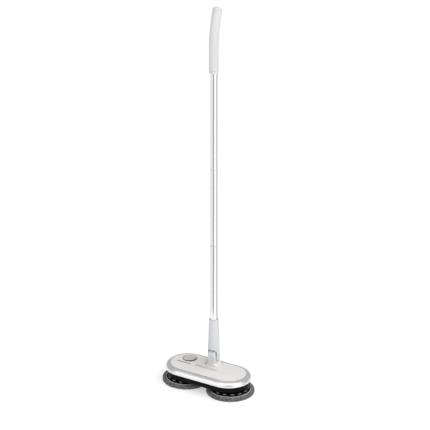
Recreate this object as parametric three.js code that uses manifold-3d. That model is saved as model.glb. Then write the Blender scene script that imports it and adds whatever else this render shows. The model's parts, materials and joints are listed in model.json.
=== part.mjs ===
// A cordless spin mop for hard floors and short carpet: an oval head with two counter-turning microfibre
// discs, a two-axis handle joint and a three-piece tube with a curved grip.
// Millimetres. +Z is up, +X is the long way of the head and +Y is the user's side. The origin is on the
// floor, under the middle of the head.
import * as THREE from "three";
import { mergeVertices } from "three/addons/utils/BufferGeometryUtils.js";
import Module from "manifold-3d";

const wasm = await Module();
wasm.setup();

// ---------------------------------------------------------------- driving dimensions
const OVERALL_HEIGHT = 1200;
const OVERALL_LENGTH = 295;
const PAD_RADIUS = 71.5;
const PAD_HEIGHT = 12;
const DISC_X = OVERALL_LENGTH / 2 - PAD_RADIUS; // each disc's axis from the middle
const GAP = 0.3; // between pieces that touch
const ROUND = 20; // facets of a small round piece
const FINE = 36; // facets of a large round piece
const END_FACETS = 12; // facets of each half circle of the head

// The head is a stadium: two half circles about points at +-SPINE on the X axis.
const SPINE = 70.5;
const COVER_RADIUS = 67;
const COVER_BOTTOM = 42.4;
const COVER_TOP = 58.4;
const COVER_SHOULDER = { width: 12, height: 15 };
const PANEL_RADIUS = 51.9;
const PANEL_BOTTOM = 55.5;
const PANEL_TOP = 58.8;
const LEDGE_RADIUS = 46; // inner edge of the ledge that carries the panel
const CHASSIS_RADIUS = 63;
const CHASSIS_BOTTOM = 20.5;
const CHASSIS_FLOOR = 23;
const CHASSIS_TOP = 46;

// Handle joint: a barrel that swivels about Y in the head, and a knuckle that carries the neck on a pin
// along X.
const JOINT_Y = 30;
const SWIVEL_Z = 47.1;
const BARREL_RADIUS = 22;
const BARREL_HALF = 17.5; // half its length along Y, and the knuckle's own radius about the pin
const PIN_Z = 89;
const KNUCKLE_HALF = 13; // half its width along X
const KNUCKLE_TOP_HALF = 10.4; // and at its very top
const SHAFT_RADIUS = 4;
const PIN_RADIUS = 3;

// Neck, tube and grip
const NECK_RADIUS = 17.2;
const NECK_TOP_RADIUS = 14.4;
const NECK_TOP = 207;
const SOCKET_BOTTOM = 142;
const TUBE_RADIUS = 11.4;
const TUBE_WALL = 1;
const TUBE_JOINTS = [447, 692];
const TUBE_TOP = 1055;
const GRIP_BOTTOM = 1000;
const GRIP_RADIUS = 14.5;
const BEND_RADIUS = 343;
const BEND_ANGLE = 0.356; // of the grip's end, radians
const GRIP_RIM = { radius: GRIP_RADIUS - 2, fromEnd: 0.7 }; // its highest edge
const BEND_START =
  OVERALL_HEIGHT - (BEND_RADIUS + GRIP_RIM.radius) * Math.sin(BEND_ANGLE - GRIP_RIM.fromEnd / BEND_RADIUS);
const GRIP_END = BEND_START + BEND_RADIUS * BEND_ANGLE; // measured along its centre line

// Drive: one motor, worm and worm wheel for each disc
const MODULE = 1;
const WHEEL_TEETH = 30;
const WHEEL_Z = [32, 40];
const WORM_RADIUS = 5; // pitch radius
const WORM_PITCH = Math.PI * MODULE;
const WORM_HALF = 7; // half its length
const BACKLASH = 0.3;
const WHEEL_PITCH_RADIUS = (MODULE * WHEEL_TEETH) / 2;
const WORM_Y = -(WHEEL_PITCH_RADIUS + WORM_RADIUS);
const WORM_Z = (WHEEL_Z[0] + WHEEL_Z[1]) / 2;
const MOTOR = { start: 37, end: 61, radius: 12.2, wall: 1 };
const SPINDLE_RADIUS = 3.9;
const BORE_RADIUS = SPINDLE_RADIUS + GAP;

// Controls on the panel
const BUTTON = { x: -79, y: 22, radius: 19.6, top: 61.2 };
const STRIP = { x: -80, y: -8, length: 49, width: 2.8 };
const WINDOW = { x: -7.5, y: -5, length: 75, width: 13 };
const BOARD = {
  x: [-104, -60],
  y: [2, 42],
  z: [46.6, 48.2],
  posts: [[-100, 6], [-100, 38], [-64, 38], [-64, 20]],
};

const SCREWS = [
  [-112.8, -27.5],
  [112.8, -27.5],
  [-112.8, 27.5],
  [112.8, 27.5],
  [0, -48.5],
  [40, 48.5],
];

// ---------------------------------------------------------------- materials
const plastic = (color, roughness) => new THREE.MeshStandardMaterial({ color, roughness, metalness: 0 });
const metal = (color, roughness) => new THREE.MeshStandardMaterial({ color, roughness, metalness: 1 });
const MATERIALS = {
  silver: new THREE.MeshStandardMaterial({ color: 0xc9cacc, roughness: 0.3, metalness: 0.6 }),
  panel: plastic(0xdedddd, 0.45),
  white: plastic(0xdadbdd, 0.5),
  black: plastic(0x0c0c0d, 0.25),
  grey: plastic(0xb4b3b5, 0.4),
  smoke: plastic(0xb0b0b2, 0.2),
  chrome: metal(0xe2e5e9, 0.12),
  steel: metal(0x9a9c9f, 0.35),
  brass: metal(0xb8974f, 0.35),
  nylon: plastic(0xe9e6da, 0.5),
  rubber: plastic(0x1a1a1b, 0.8),
  fibre: plastic(0x5c5d61, 0.95),
  hook: plastic(0x2b2b2e, 0.9),
  board: plastic(0x1f5a3a, 0.5),
  cell: plastic(0x3568a8, 0.4),
};

// ---------------------------------------------------------------- shape helpers
// A closed geometry as a solid: only its positions are kept, with shared vertices merged.
function solid(geometry) {
  const flat = geometry.index ? geometry.toNonIndexed() : geometry;
  const bare = new THREE.BufferGeometry().setAttribute("position", flat.getAttribute("position"));
  const merged = mergeVertices(bare, 1e-4);
  return new wasm.Manifold(
    new wasm.Mesh({
      numProp: 3,
      vertProperties: merged.attributes.position.array,
      triVerts: merged.index.array,
    }),
  );
}

function geometryOf(body) {
  const { vertProperties, triVerts } = body.getMesh();
  return new THREE.BufferGeometry()
    .setAttribute("position", new THREE.BufferAttribute(vertProperties, 3))
    .setIndex(new THREE.BufferAttribute(triVerts, 1));
}

const joined = (...bodies) => bodies.flat().reduce((whole, piece) => whole.add(piece));
const cut = (body, ...tools) => tools.flat().reduce((left, tool) => left.subtract(tool), body);

// A box between two corners.
function box([x0, x1], [y0, y1], [z0, z1]) {
  const block = new THREE.BoxGeometry(x1 - x0, y1 - y0, z1 - z0);
  return solid(block.translate((x0 + x1) / 2, (y0 + y1) / 2, (z0 + z1) / 2));
}

// A cylinder along X, Y or Z from one coordinate to another; at holds the other two coordinates, in order.
function rod(axis, radius, [from, to], at = [0, 0], facets = ROUND) {
  const cylinder = new THREE.CylinderGeometry(radius, radius, to - from, facets);
  const middle = (from + to) / 2;
  if (axis === "x") return solid(cylinder.rotateZ(-Math.PI / 2).translate(middle, at[0], at[1]));
  if (axis === "y") return solid(cylinder.translate(at[0], middle, at[1]));
  return solid(cylinder.rotateX(Math.PI / 2).translate(at[0], at[1], middle));
}

// A profile of [radius, z] corners turned about a vertical axis through [x, y].
function turned(profile, [x, y] = [0, 0], facets = FINE) {
  const points = profile.map(([r, z]) => new THREE.Vector2(r, z));
  if (THREE.ShapeUtils.area(points) < 0) points.reverse();
  points.push(points[0].clone());
  return solid(new THREE.LatheGeometry(points, facets).rotateX(Math.PI / 2).translate(x, y, 0));
}

const ring = (inner, outer, [z0, z1], at, facets = ROUND) =>
  turned([[inner, z0], [outer, z0], [outer, z1], [inner, z1]], at, facets);

// The outline of the head at a distance from its spine.
function stadium(halfLength, radius) {
  const shape = new THREE.Shape();
  shape.absarc(halfLength, 0, radius, -Math.PI / 2, Math.PI / 2);
  shape.absarc(-halfLength, 0, radius, Math.PI / 2, 1.5 * Math.PI);
  return shape;
}

// A straight-sided slab of a stadium.
function slab(halfLength, radius, [z0, z1], [x, y] = [0, 0], facets = END_FACETS) {
  const options = { depth: z1 - z0, bevelEnabled: false, curveSegments: facets };
  return solid(new THREE.ExtrudeGeometry(stadium(halfLength, radius), options).translate(x, y, z0));
}

// A slab that is widest from z0 to z1, with an elliptical shoulder above and below.
function shouldered(radius, [z0, z1], { width, height }, steps = 4) {
  const options = {
    depth: z1 - z0,
    bevelSize: width,
    bevelThickness: height,
    bevelSegments: steps,
    curveSegments: END_FACETS,
  };
  return solid(new THREE.ExtrudeGeometry(stadium(SPINE, radius - width), options).translate(0, 0, z0));
}

// A shape drawn in X and Z, carried along Y between two coordinates.
function carried(shape, [y0, y1]) {
  const options = { depth: y1 - y0, bevelEnabled: false, curveSegments: 12 };
  return solid(new THREE.ExtrudeGeometry(shape, options).rotateX(Math.PI / 2).translate(0, y1, 0));
}

// Each point of a geometry moved by a function of its place.
function reshaped(geometry, move) {
  const position = geometry.getAttribute("position");
  const point = new THREE.Vector3();
  for (let i = 0; i < position.count; i++) {
    point.fromBufferAttribute(position, i);
    move(point);
    position.setXYZ(i, point.x, point.y, point.z);
  }
  return geometry;
}

// ---------------------------------------------------------------- the assembly
const mop = new THREE.Group();

function add(name, body, material, group = mop) {
  const mesh = new THREE.Mesh(geometryOf(body), MATERIALS[material]);
  mesh.name = name;
  group.add(mesh);
  return mesh;
}

// ---------------------------------------------------------------- head: shells and controls
const LEDGE_Z = [53.5, PANEL_BOTTOM - GAP];
const SCREW_POST = { radius: 5, top: 27.2, bore: 2, head: 3.8, seat: 24 };

function chassis() {
  const tub = cut(
    shouldered(CHASSIS_RADIUS, [30.5, CHASSIS_TOP + 8], { width: 11, height: 10 }, 3),
    box([-200, 200], [-100, 100], [CHASSIS_TOP, 90]),
    shouldered(CHASSIS_RADIUS - 2.4, [31.5, 60], { width: 10.2, height: 31.5 - CHASSIS_FLOOR }, 2),
  );
  const bosses = [-DISC_X, DISC_X].map((x) => ring(11.3, 14.3, [CHASSIS_FLOOR - 0.5, 30.5], [x, 0]));
  const postZ = [CHASSIS_BOTTOM + 0.8, SCREW_POST.top];
  const posts = SCREWS.map((at) => rod("z", SCREW_POST.radius, postZ, at, 12));
  const boardPosts = BOARD.posts.map((at) => rod("z", 2.2, [CHASSIS_FLOOR - 0.5, BOARD.z[0] - GAP], at, 8));
  const cradles = [-1, 1].flatMap((side) =>
    [41, 57].map((x) => {
      const wide = [side * x - 1.5, side * x + 1.5];
      const block = box(wide, [WORM_Y - 10, WORM_Y + 10], [CHASSIS_FLOOR - 0.5, 30]);
      return cut(block, rod("x", MOTOR.radius + GAP, [side * x - 3, side * x + 3], [WORM_Y, WORM_Z]));
    }),
  );
  const batteryRibs = [-4, -43.4].map((y) => box([-33, 33], [y, y + 1.2], [CHASSIS_FLOOR - 0.5, 34]));
  const holes = [-DISC_X, DISC_X].map((x) => rod("z", 8.3, [CHASSIS_BOTTOM - 2, 26], [x, 0]));
  const screwHoles = SCREWS.flatMap((at) => [
    rod("z", SCREW_POST.bore, [CHASSIS_BOTTOM - 5, 40], at, 8),
    rod("z", SCREW_POST.head, [CHASSIS_BOTTOM - 5, SCREW_POST.seat], at, 12),
  ]);
  const socketHole = rod("y", 5.3, [50, 70], [72, 32]);
  return cut(joined(tub, bosses, posts, boardPosts, cradles, batteryRibs), holes, screwHoles, socketHole);
}

// The room that the barrel turns in.
function barrelSpace() {
  const ends = [JOINT_Y - BARREL_HALF - 0.8, JOINT_Y + BARREL_HALF + 0.8];
  return rod("y", BARREL_RADIUS + 0.6, ends, [0, SWIVEL_Z], FINE);
}

function topCover() {
  const straight = [COVER_BOTTOM + 0.8, COVER_TOP - COVER_SHOULDER.height];
  const shell = cut(
    shouldered(COVER_RADIUS, straight, COVER_SHOULDER, 5),
    box([-200, 200], [-100, 100], [0, COVER_BOTTOM]),
    shouldered(COVER_RADIUS - 2.4, [26, straight[1]], { width: 9.8, height: LEDGE_Z[0] - straight[1] }, 2),
  );
  const posts = SCREWS.map((at) => rod("z", 4.2, [SCREW_POST.top + GAP, LEDGE_Z[0] + 0.6], at, 12));
  const pilots = SCREWS.map((at) => rod("z", 1.9, [20, 46], at, 8));
  return cut(
    joined(shell, posts),
    slab(SPINE, PANEL_RADIUS + GAP, [LEDGE_Z[1], 90]),
    slab(SPINE, LEDGE_RADIUS, [LEDGE_Z[0] - 0.5, 90]),
    barrelSpace(),
    pilots,
  );
}

function topPanel() {
  const edge = { width: 4.5, height: 1.6 };
  const plate = cut(
    shouldered(PANEL_RADIUS, [50, PANEL_TOP - edge.height], edge, 2),
    box([-200, 200], [-100, 100], [0, PANEL_BOTTOM]),
  );
  return cut(
    plate,
    barrelSpace(),
    rod("z", BUTTON.radius + 1.3, [40, 80], [BUTTON.x, BUTTON.y]),
    slab((STRIP.length - STRIP.width) / 2, STRIP.width / 2, [50, 80], [STRIP.x, STRIP.y], 8),
    slab((WINDOW.length - WINDOW.width) / 2, WINDOW.width / 2, [50, 80], [WINDOW.x, WINDOW.y], 8),
  );
}

function footButton() {
  const { x, y, radius, top } = BUTTON;
  const dome = [[0, top - 2], [3, top - 2], [3, 54.9], [0, 54.9]];
  return joined(
    turned(
      [
        [16.5, 52.5],
        [radius + 2, 52.5],
        [radius + 2, 54.7],
        [radius, 54.7],
        [radius, top - 1.8],
        [radius - 1.2, top - 0.6],
        [radius - 6, top],
        [0, top],
        [0, top - 2.2],
        [16.5, top - 2.2],
      ],
      [x, y],
    ),
    turned(dome, [x, y], 16),
  );
}

function buttonBezel() {
  const inner = BUTTON.radius + GAP;
  const outer = BUTTON.radius + 1.3 - GAP;
  const lip = BUTTON.radius + 2.7;
  const base = PANEL_TOP + GAP;
  return turned(
    [
      [inner, 55.6],
      [outer, 55.6],
      [outer, base],
      [lip, base],
      [lip, base + 0.5],
      [lip - 1.2, base + 1.4],
      [inner, base + 1.4],
    ],
    [BUTTON.x, BUTTON.y],
  );
}

// A round wire wound up from z0 to z1: a straight bar wrapped about the button's axis.
function buttonSpring() {
  const [coil, wire, turns, z0, z1] = [9, 0.6, 3, 49.4, 57.8];
  const straight = new THREE.CylinderGeometry(wire, wire, 1, 5, turns * 11);
  const bar = straight.rotateX(Math.PI / 2).translate(0, 0, 0.5);
  const wound = reshaped(bar, (p) => {
    const angle = p.z * turns * 2 * Math.PI;
    const reach = coil + p.x;
    p.set(BUTTON.x + reach * Math.cos(angle), BUTTON.y + reach * Math.sin(angle), z0 + (z1 - z0) * p.z - p.y);
  });
  return solid(wound);
}

function footSwitch() {
  const top = BOARD.z[1] + GAP;
  const body = box([BUTTON.x - 4, BUTTON.x + 4], [BUTTON.y - 4, BUTTON.y + 4], [top, top + 3]);
  return joined(body, rod("z", 1.8, [top + 2, 52.1], [BUTTON.x, BUTTON.y], 16));
}

function chargingSocket() {
  const [x, z] = [72, 32];
  const barrel = rod("y", 5, [48, CHASSIS_RADIUS - 0.5], [x, z]);
  const body = box([x - 5.5, x + 5.5], [44, 55], [z - 5.5, z + 5.5]);
  return cut(joined(barrel, body), rod("y", 3.2, [50, 70], [x, z]));
}

function housingScrew(at) {
  const [seat, headTop] = [SCREW_POST.seat, SCREW_POST.seat - GAP];
  const shank = rod("z", 1.5, [headTop - 0.5, seat + 10], at, 12);
  return joined(rod("z", 3.2, [headTop - 2, headTop], at, 16), shank);
}

// A lens that lies in its hole in the panel.
function lens({ x, y, length, width }, top) {
  return slab((length - width) / 2, width / 2 - GAP, [55.7, top], [x, y], 8);
}

add("chassis", chassis(), "black");
add("top_cover", topCover(), "silver");
add("top_panel", topPanel(), "panel");
add("foot_button", footButton(), "grey");
add("button_bezel", buttonBezel(), "chrome");
add("button_spring", buttonSpring(), "steel");
add("foot_switch", footSwitch(), "rubber");
add("indicator_strip", lens(STRIP, PANEL_TOP + 0.2), "smoke");
add("status_window", lens(WINDOW, PANEL_TOP), "smoke");
add("circuit_board", box(BOARD.x, BOARD.y, BOARD.z), "board");
add("charging_socket", chargingSocket(), "rubber");
[-13.6, -33].forEach((y, i) => add(`battery_cell_${i + 1}`, rod("x", 9, [-32.5, 32.5], [y, 32.6]), "cell"));
SCREWS.forEach((at, i) => add(`housing_screw_${i + 1}`, housingScrew(at), "steel"));

// ---------------------------------------------------------------- drive, made for the right and mirrored to the left
function mopPad() {
  const r = PAD_RADIUS;
  return turned(
    [
      [12, 0],
      [r - 3.5, 0],
      [r - 1, 2],
      [r, 5.5],
      [r - 0.8, 9],
      [r - 4, PAD_HEIGHT],
      [60.5, PAD_HEIGHT],
      [59.3, 6],
      [12, 6],
    ],
    [DISC_X, 0],
    FINE,
  );
}

function padCarrier() {
  const dish = turned(
    [
      [0, 7.6],
      [15, 7.6],
      [15, 16.2],
      [45, 16.2],
      [53, 12.2],
      [53, 10.2],
      [44, 10.2],
      [44, 7.6],
      [58.6, 7.6],
      [58.6, 12.4],
      [47, 18.6],
      [12, 18.6],
      [12, 19.8],
      [0, 19.8],
    ],
    [DISC_X, 0],
  );
  const hex = rod("z", 4.6, [11, 30], [DISC_X, 0], 6);
  const screwWay = rod("z", 1.9, [5, 15], [DISC_X, 0], 12);
  const screwSeat = rod("z", 4, [5, 9.9], [DISC_X, 0], 12);
  return cut(dish, hex, screwWay, screwSeat);
}

function spindle() {
  const shaft = rod("z", SPINDLE_RADIUS, [20.2, 46], [DISC_X, 0]);
  const hexEnd = rod("z", 4.2, [11.3, 20.3], [DISC_X, 0], 6);
  return cut(joined(shaft, hexEnd), rod("z", 1.8, [8, 22], [DISC_X, 0], 16));
}

function carrierScrew() {
  return joined(rod("z", 3.6, [7.9, 9.6], [DISC_X, 0], 16), rod("z", 1.5, [9, 20], [DISC_X, 0], 12));
}

// Half the width of a tooth or thread at a height above the pitch line, with straight 20 degree flanks.
const flank = (height) => (Math.PI * MODULE) / 4 - BACKLASH / 2 - height * Math.tan(Math.PI / 9);

function wormWheel() {
  const [tip, foot] = [MODULE, -1.25 * MODULE];
  const outline = [];
  for (let tooth = 0; tooth < WHEEL_TEETH; tooth++) {
    const middle = (2 * Math.PI * tooth) / WHEEL_TEETH;
    for (const [side, height] of [[-1, foot], [-1, tip], [1, tip], [1, foot]]) {
      const radius = WHEEL_PITCH_RADIUS + height;
      const angle = middle + (side * flank(height)) / radius;
      outline.push(new THREE.Vector2(radius * Math.cos(angle), radius * Math.sin(angle)));
    }
  }
  const depth = WHEEL_Z[1] - WHEEL_Z[0];
  const blank = new THREE.ExtrudeGeometry(new THREE.Shape(outline), { depth, bevelEnabled: false });
  const slope = WORM_PITCH / (2 * Math.PI * WORM_RADIUS); // of the thread, and so of the teeth
  reshaped(blank, (p) => {
    const twist = (slope * (p.z - depth / 2)) / WHEEL_PITCH_RADIUS;
    p.applyAxisAngle(new THREE.Vector3(0, 0, 1), twist);
  });
  const teeth = solid(blank.translate(DISC_X, 0, WHEEL_Z[0]));
  const hub = rod("z", 8, [31.2, 41.2], [DISC_X, 0]);
  return cut(joined(teeth, hub), rod("z", BORE_RADIUS, [20, 60], [DISC_X, 0]));
}

// One right-hand thread, wrapped from a straight bar; the ridge that faces the wheel is level with its axis.
function worm() {
  const [crest, root] = [MODULE, -1.25 * MODULE];
  const section = new THREE.Shape([
    new THREE.Vector2(-flank(root), root - 0.3),
    new THREE.Vector2(flank(root), root - 0.3),
    new THREE.Vector2(flank(root), root),
    new THREE.Vector2(flank(crest), crest),
    new THREE.Vector2(-flank(crest), crest),
    new THREE.Vector2(-flank(root), root),
  ]);
  const turns = Math.floor((2 * WORM_HALF - WORM_PITCH) / WORM_PITCH);
  const bar = new THREE.ExtrudeGeometry(section, { depth: turns, steps: turns * 12, bevelEnabled: false });
  const thread = reshaped(bar, (p) => {
    const turn = p.z - turns / 2;
    const angle = 2 * Math.PI * turn;
    const reach = WORM_RADIUS + p.y;
    p.set(DISC_X + WORM_PITCH * turn + p.x, WORM_Y + reach * Math.cos(angle), WORM_Z + reach * Math.sin(angle));
  });
  const ends = [DISC_X - WORM_HALF, DISC_X + WORM_HALF];
  const core = rod("x", WORM_RADIUS + root, ends, [WORM_Y, WORM_Z], 24);
  return cut(joined(core, solid(thread)), rod("x", 1.5, [0, 120], [WORM_Y, WORM_Z], 16));
}

function motorCan() {
  const { start, end, radius, wall } = MOTOR;
  const at = [WORM_Y, WORM_Z];
  const terminals = [-6, 6].map((z) =>
    box([start - 3.6, start + 1], [WORM_Y - 1, WORM_Y + 1], [WORM_Z + z - 0.4, WORM_Z + z + 0.4]),
  );
  const outside = joined(rod("x", radius, [start, end], at), rod("x", 3.4, [start - 1.5, end + 1.8], at, 16), terminals);
  return cut(outside, rod("x", radius - wall, [start + 1.2, end - 1.2], at), rod("x", 1.5, [0, 120], at, 16));
}

function armature() {
  const { start, end } = MOTOR;
  const at = [WORM_Y, WORM_Z];
  const shaft = rod("x", 1.15, [start - 1, DISC_X + WORM_HALF], at, 16);
  const core = rod("x", 9.4, [start + 7, end - 4], at, 24);
  return joined(shaft, core, rod("x", 3, [start + 3, start + 7.5], at, 16));
}

function gearCover() {
  const plate = ring(BORE_RADIUS, 21, [42.6, 45.6], [DISC_X, 0]);
  const posts = [20, 90, 160].map((degrees) => {
    const angle = THREE.MathUtils.degToRad(degrees);
    const at = [DISC_X + 19 * Math.cos(angle), 19 * Math.sin(angle)];
    return rod("z", 2.2, [CHASSIS_FLOOR + GAP, 43], at, 12);
  });
  const motorSide = rod("x", MOTOR.radius + 1, [MOTOR.start, MOTOR.end + 1], [WORM_Y, WORM_Z]);
  return cut(joined(plate, posts), motorSide);
}

for (const [side, mirror] of [["right", 1], ["left", -1]]) {
  const group = new THREE.Group();
  group.scale.x = mirror;
  mop.add(group);
  const place = (name, body, material) => add(`${name}_${side}`, body, material, group);
  place("mop_pad", mopPad(), "fibre");
  place("hook_ring", ring(16, 57.8, [6.3, 7.3], [DISC_X, 0], FINE), "hook");
  place("pad_carrier", padCarrier(), "black");
  place("carrier_screw", carrierScrew(), "steel");
  place("spindle", spindle(), "steel");
  place("worm_wheel", wormWheel(), "nylon");
  place("spindle_bearing", ring(BORE_RADIUS, 11, [23.4, 30.4], [DISC_X, 0]), "steel");
  place("shaft_seal", ring(BORE_RADIUS, 8, [20.8, 23], [DISC_X, 0]), "rubber");
  place("gear_cover", gearCover(), "nylon");
  place("motor_can", motorCan(), "steel");
  place("armature", armature(), "steel");
  place("worm", worm(), "brass");
}

// ---------------------------------------------------------------- handle joint
function jointBracket() {
  const upright = new THREE.Shape();
  upright.moveTo(-11, 25);
  upright.lineTo(11, 25);
  upright.lineTo(5.7, SWIVEL_Z);
  upright.absarc(0, SWIVEL_Z, 5.7, 0, Math.PI);
  upright.closePath();
  const reach = BARREL_HALF + 1.5;
  const front = carried(upright, [JOINT_Y - reach - 4.5, JOINT_Y - reach]);
  const rear = carried(upright, [JOINT_Y + reach, JOINT_Y + reach + 4.5]);
  const base = box([-14, 14], [JOINT_Y - reach - 4.5, JOINT_Y + reach], [CHASSIS_FLOOR + GAP, 26]);
  return cut(joined(base, front, rear), rod("y", SHAFT_RADIUS + GAP, [-20, 90], [0, SWIVEL_Z]));
}

// The knuckle is where its front outline, its round side outline and the barrel meet.
function knuckle() {
  const w = KNUCKLE_HALF;
  const topW = KNUCKLE_TOP_HALF;
  const [taperStart, topZ] = [PIN_Z - 4, PIN_Z + BARREL_HALF];
  const front = new THREE.Shape();
  front.moveTo(-w, 50);
  front.lineTo(w, 50);
  front.lineTo(w, taperStart);
  front.lineTo(topW, topZ);
  front.lineTo(-topW, topZ);
  front.lineTo(-w, taperStart);
  front.closePath();
  const ends = [JOINT_Y - BARREL_HALF, JOINT_Y + BARREL_HALF];
  const top = rod("x", BARREL_HALF, [-30, 30], [JOINT_Y, PIN_Z], FINE);
  const side = joined(top, box([-30, 30], ends, [50, PIN_Z]));
  const barrel = cut(
    rod("y", BARREL_RADIUS, ends, [0, SWIVEL_Z], FINE),
    box([-40, 40], [0, 60], [0, SWIVEL_Z - 8]),
  );
  return cut(
    joined(carried(front, ends).intersect(side), barrel),
    rod("x", PIN_RADIUS + GAP, [-40, 40], [JOINT_Y, PIN_Z]),
    rod("y", SHAFT_RADIUS + GAP, [0, 60], [0, SWIVEL_Z]),
  );
}

// The neck straddles the knuckle: round-ended legs, a slot with a rounded top in front, a tube socket above.
function neck() {
  const at = [0, JOINT_Y];
  const slotHalf = KNUCKLE_HALF + 0.6;
  const slotTop = PIN_Z + 24;
  const corner = 8;
  const legEnd = 17;
  const body = turned(
    [[0, 60], [NECK_RADIUS + 0.2, 60], [NECK_RADIUS, 112], [16.3, 150], [NECK_TOP_RADIUS, NECK_TOP], [0, NECK_TOP]],
    at,
  );
  const arch = new THREE.Shape();
  arch.moveTo(-slotHalf, 50);
  arch.lineTo(slotHalf, 50);
  arch.lineTo(slotHalf, slotTop - corner);
  arch.absarc(slotHalf - corner, slotTop - corner, corner, 0, Math.PI / 2);
  arch.absarc(corner - slotHalf, slotTop - corner, corner, Math.PI / 2, Math.PI);
  arch.closePath();
  const belowLegs = cut(
    box([-40, 40], [JOINT_Y - 40, JOINT_Y + 40], [50, PIN_Z]),
    rod("x", legEnd, [-50, 50], [JOINT_Y, PIN_Z], FINE),
  );
  return cut(
    body,
    belowLegs,
    carried(arch, [0, 60]),
    rod("x", BARREL_HALF + 0.7, [-slotHalf, slotHalf], [JOINT_Y, PIN_Z], FINE),
    rod("z", 9.5, [100, SOCKET_BOTTOM - 8], at),
    rod("z", TUBE_RADIUS + GAP, [SOCKET_BOTTOM, 300], at),
    rod("x", PIN_RADIUS + GAP, [-40, 40], [JOINT_Y, PIN_Z]),
    [-1, 1].map((side) => rod("x", 5.2, side > 0 ? [15.2, 40] : [-40, -15.2], [JOINT_Y, PIN_Z])),
  );
}

add("joint_bracket", jointBracket(), "steel");
add("swivel_shaft", rod("y", SHAFT_RADIUS, [JOINT_Y - 23.5, JOINT_Y + 23.5], [0, SWIVEL_Z]), "steel");
add("knuckle", knuckle(), "white");
add("neck", neck(), "white");
add("pivot_pin", rod("x", PIN_RADIUS, [-15, 15], [JOINT_Y, PIN_Z]), "steel");
add("pivot_cap_left", rod("x", 4.9, [-17, -15.5], [JOINT_Y, PIN_Z]), "white");
add("pivot_cap_right", rod("x", 4.9, [15.5, 17], [JOINT_Y, PIN_Z]), "white");

// ---------------------------------------------------------------- tube and grip
const COLLAR = 0.7; // half the height of the ring that shows at each tube joint

function tubeJoint(z) {
  const plug = TUBE_RADIUS - TUBE_WALL - 0.35;
  return turned(
    [
      [6, z - 24],
      [plug, z - 24],
      [plug, z - COLLAR],
      [TUBE_RADIUS + 0.1, z - COLLAR],
      [TUBE_RADIUS + 0.1, z + COLLAR],
      [plug, z + COLLAR],
      [plug, z + 24],
      [6, z + 24],
    ],
    [0, JOINT_Y],
    ROUND,
  );
}

const tube = (from, to) => ring(TUBE_RADIUS - TUBE_WALL, TUBE_RADIUS, [from, to], [0, JOINT_Y]);

// A turned profile bent backwards along the grip's centre line; heights are lengths up that line.
function bent(profile, facets = ROUND) {
  const points = profile.map(([r, z]) => new THREE.Vector2(r, z));
  if (THREE.ShapeUtils.area(points) < 0) points.reverse();
  points.push(points[0].clone());
  const straight = new THREE.LatheGeometry(points, facets).rotateX(Math.PI / 2);
  const curved = reshaped(straight, (p) => {
    const angle = Math.max(0, p.z - BEND_START) / BEND_RADIUS;
    const height = Math.min(p.z, BEND_START) + BEND_RADIUS * Math.sin(angle);
    const back = BEND_RADIUS * (1 - Math.cos(angle));
    p.set(p.x, JOINT_Y + back + p.y * Math.cos(angle), height - p.y * Math.sin(angle));
  });
  return solid(curved);
}

const CAP_SEAM = GRIP_END - 6;
const COLLAR_SEAM = GRIP_BOTTOM + 9.5;

function handleGrip() {
  const rings = 8;
  const outside = Array.from({ length: rings + 1 }, (_, i) => {
    return [GRIP_RADIUS, THREE.MathUtils.lerp(COLLAR_SEAM + GAP, CAP_SEAM - GAP, i / rings)];
  });
  const insideTop = Array.from({ length: 6 }, (_, i) => [9.6, THREE.MathUtils.lerp(CAP_SEAM - GAP, BEND_START, i / 5)]);
  const socket = [[TUBE_RADIUS + GAP, BEND_START - 2], [TUBE_RADIUS + GAP, COLLAR_SEAM + GAP]];
  return bent([...outside, ...insideTop, ...socket]);
}

function handleEndCap() {
  const r = GRIP_RADIUS;
  return bent([
    [0, CAP_SEAM - 12],
    [9.2, CAP_SEAM - 12],
    [9.2, CAP_SEAM],
    [r, CAP_SEAM],
    [r - 0.3, GRIP_END - 2.6],
    [GRIP_RIM.radius, GRIP_END - GRIP_RIM.fromEnd],
    [r - 5, GRIP_END],
    [0, GRIP_END],
  ]);
}

const tubeEnds = [SOCKET_BOTTOM + GAP, ...TUBE_JOINTS, TUBE_TOP];
const clear = COLLAR + GAP;
add("tube_lower", tube(tubeEnds[0], tubeEnds[1] - clear), "chrome");
add("tube_middle", tube(tubeEnds[1] + clear, tubeEnds[2] - clear), "chrome");
add("tube_upper", tube(tubeEnds[2] + clear, tubeEnds[3]), "chrome");
add("tube_joint_lower", tubeJoint(TUBE_JOINTS[0]), "white");
add("tube_joint_upper", tubeJoint(TUBE_JOINTS[1]), "white");
add("handle_collar", ring(TUBE_RADIUS + GAP, GRIP_RADIUS, [GRIP_BOTTOM, COLLAR_SEAM], [0, JOINT_Y]), "white");
add("handle_grip", handleGrip(), "white");
add("handle_end_cap", handleEndCap(), "white");

export default mop;
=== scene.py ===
# %% [markdown]
# # A cordless spin mop
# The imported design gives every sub-part's place, size and joint. This script adds the looks: smooth moulded
# shells, a polished tube, plush microfibre pads, and a procedural finish on every piece. Lengths in this
# file are in millimetres, as on the design, and become metres only when a mesh is made.

import json
import math

import bmesh
import bpy
import numpy as np
from mathutils import Matrix, Vector


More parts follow.
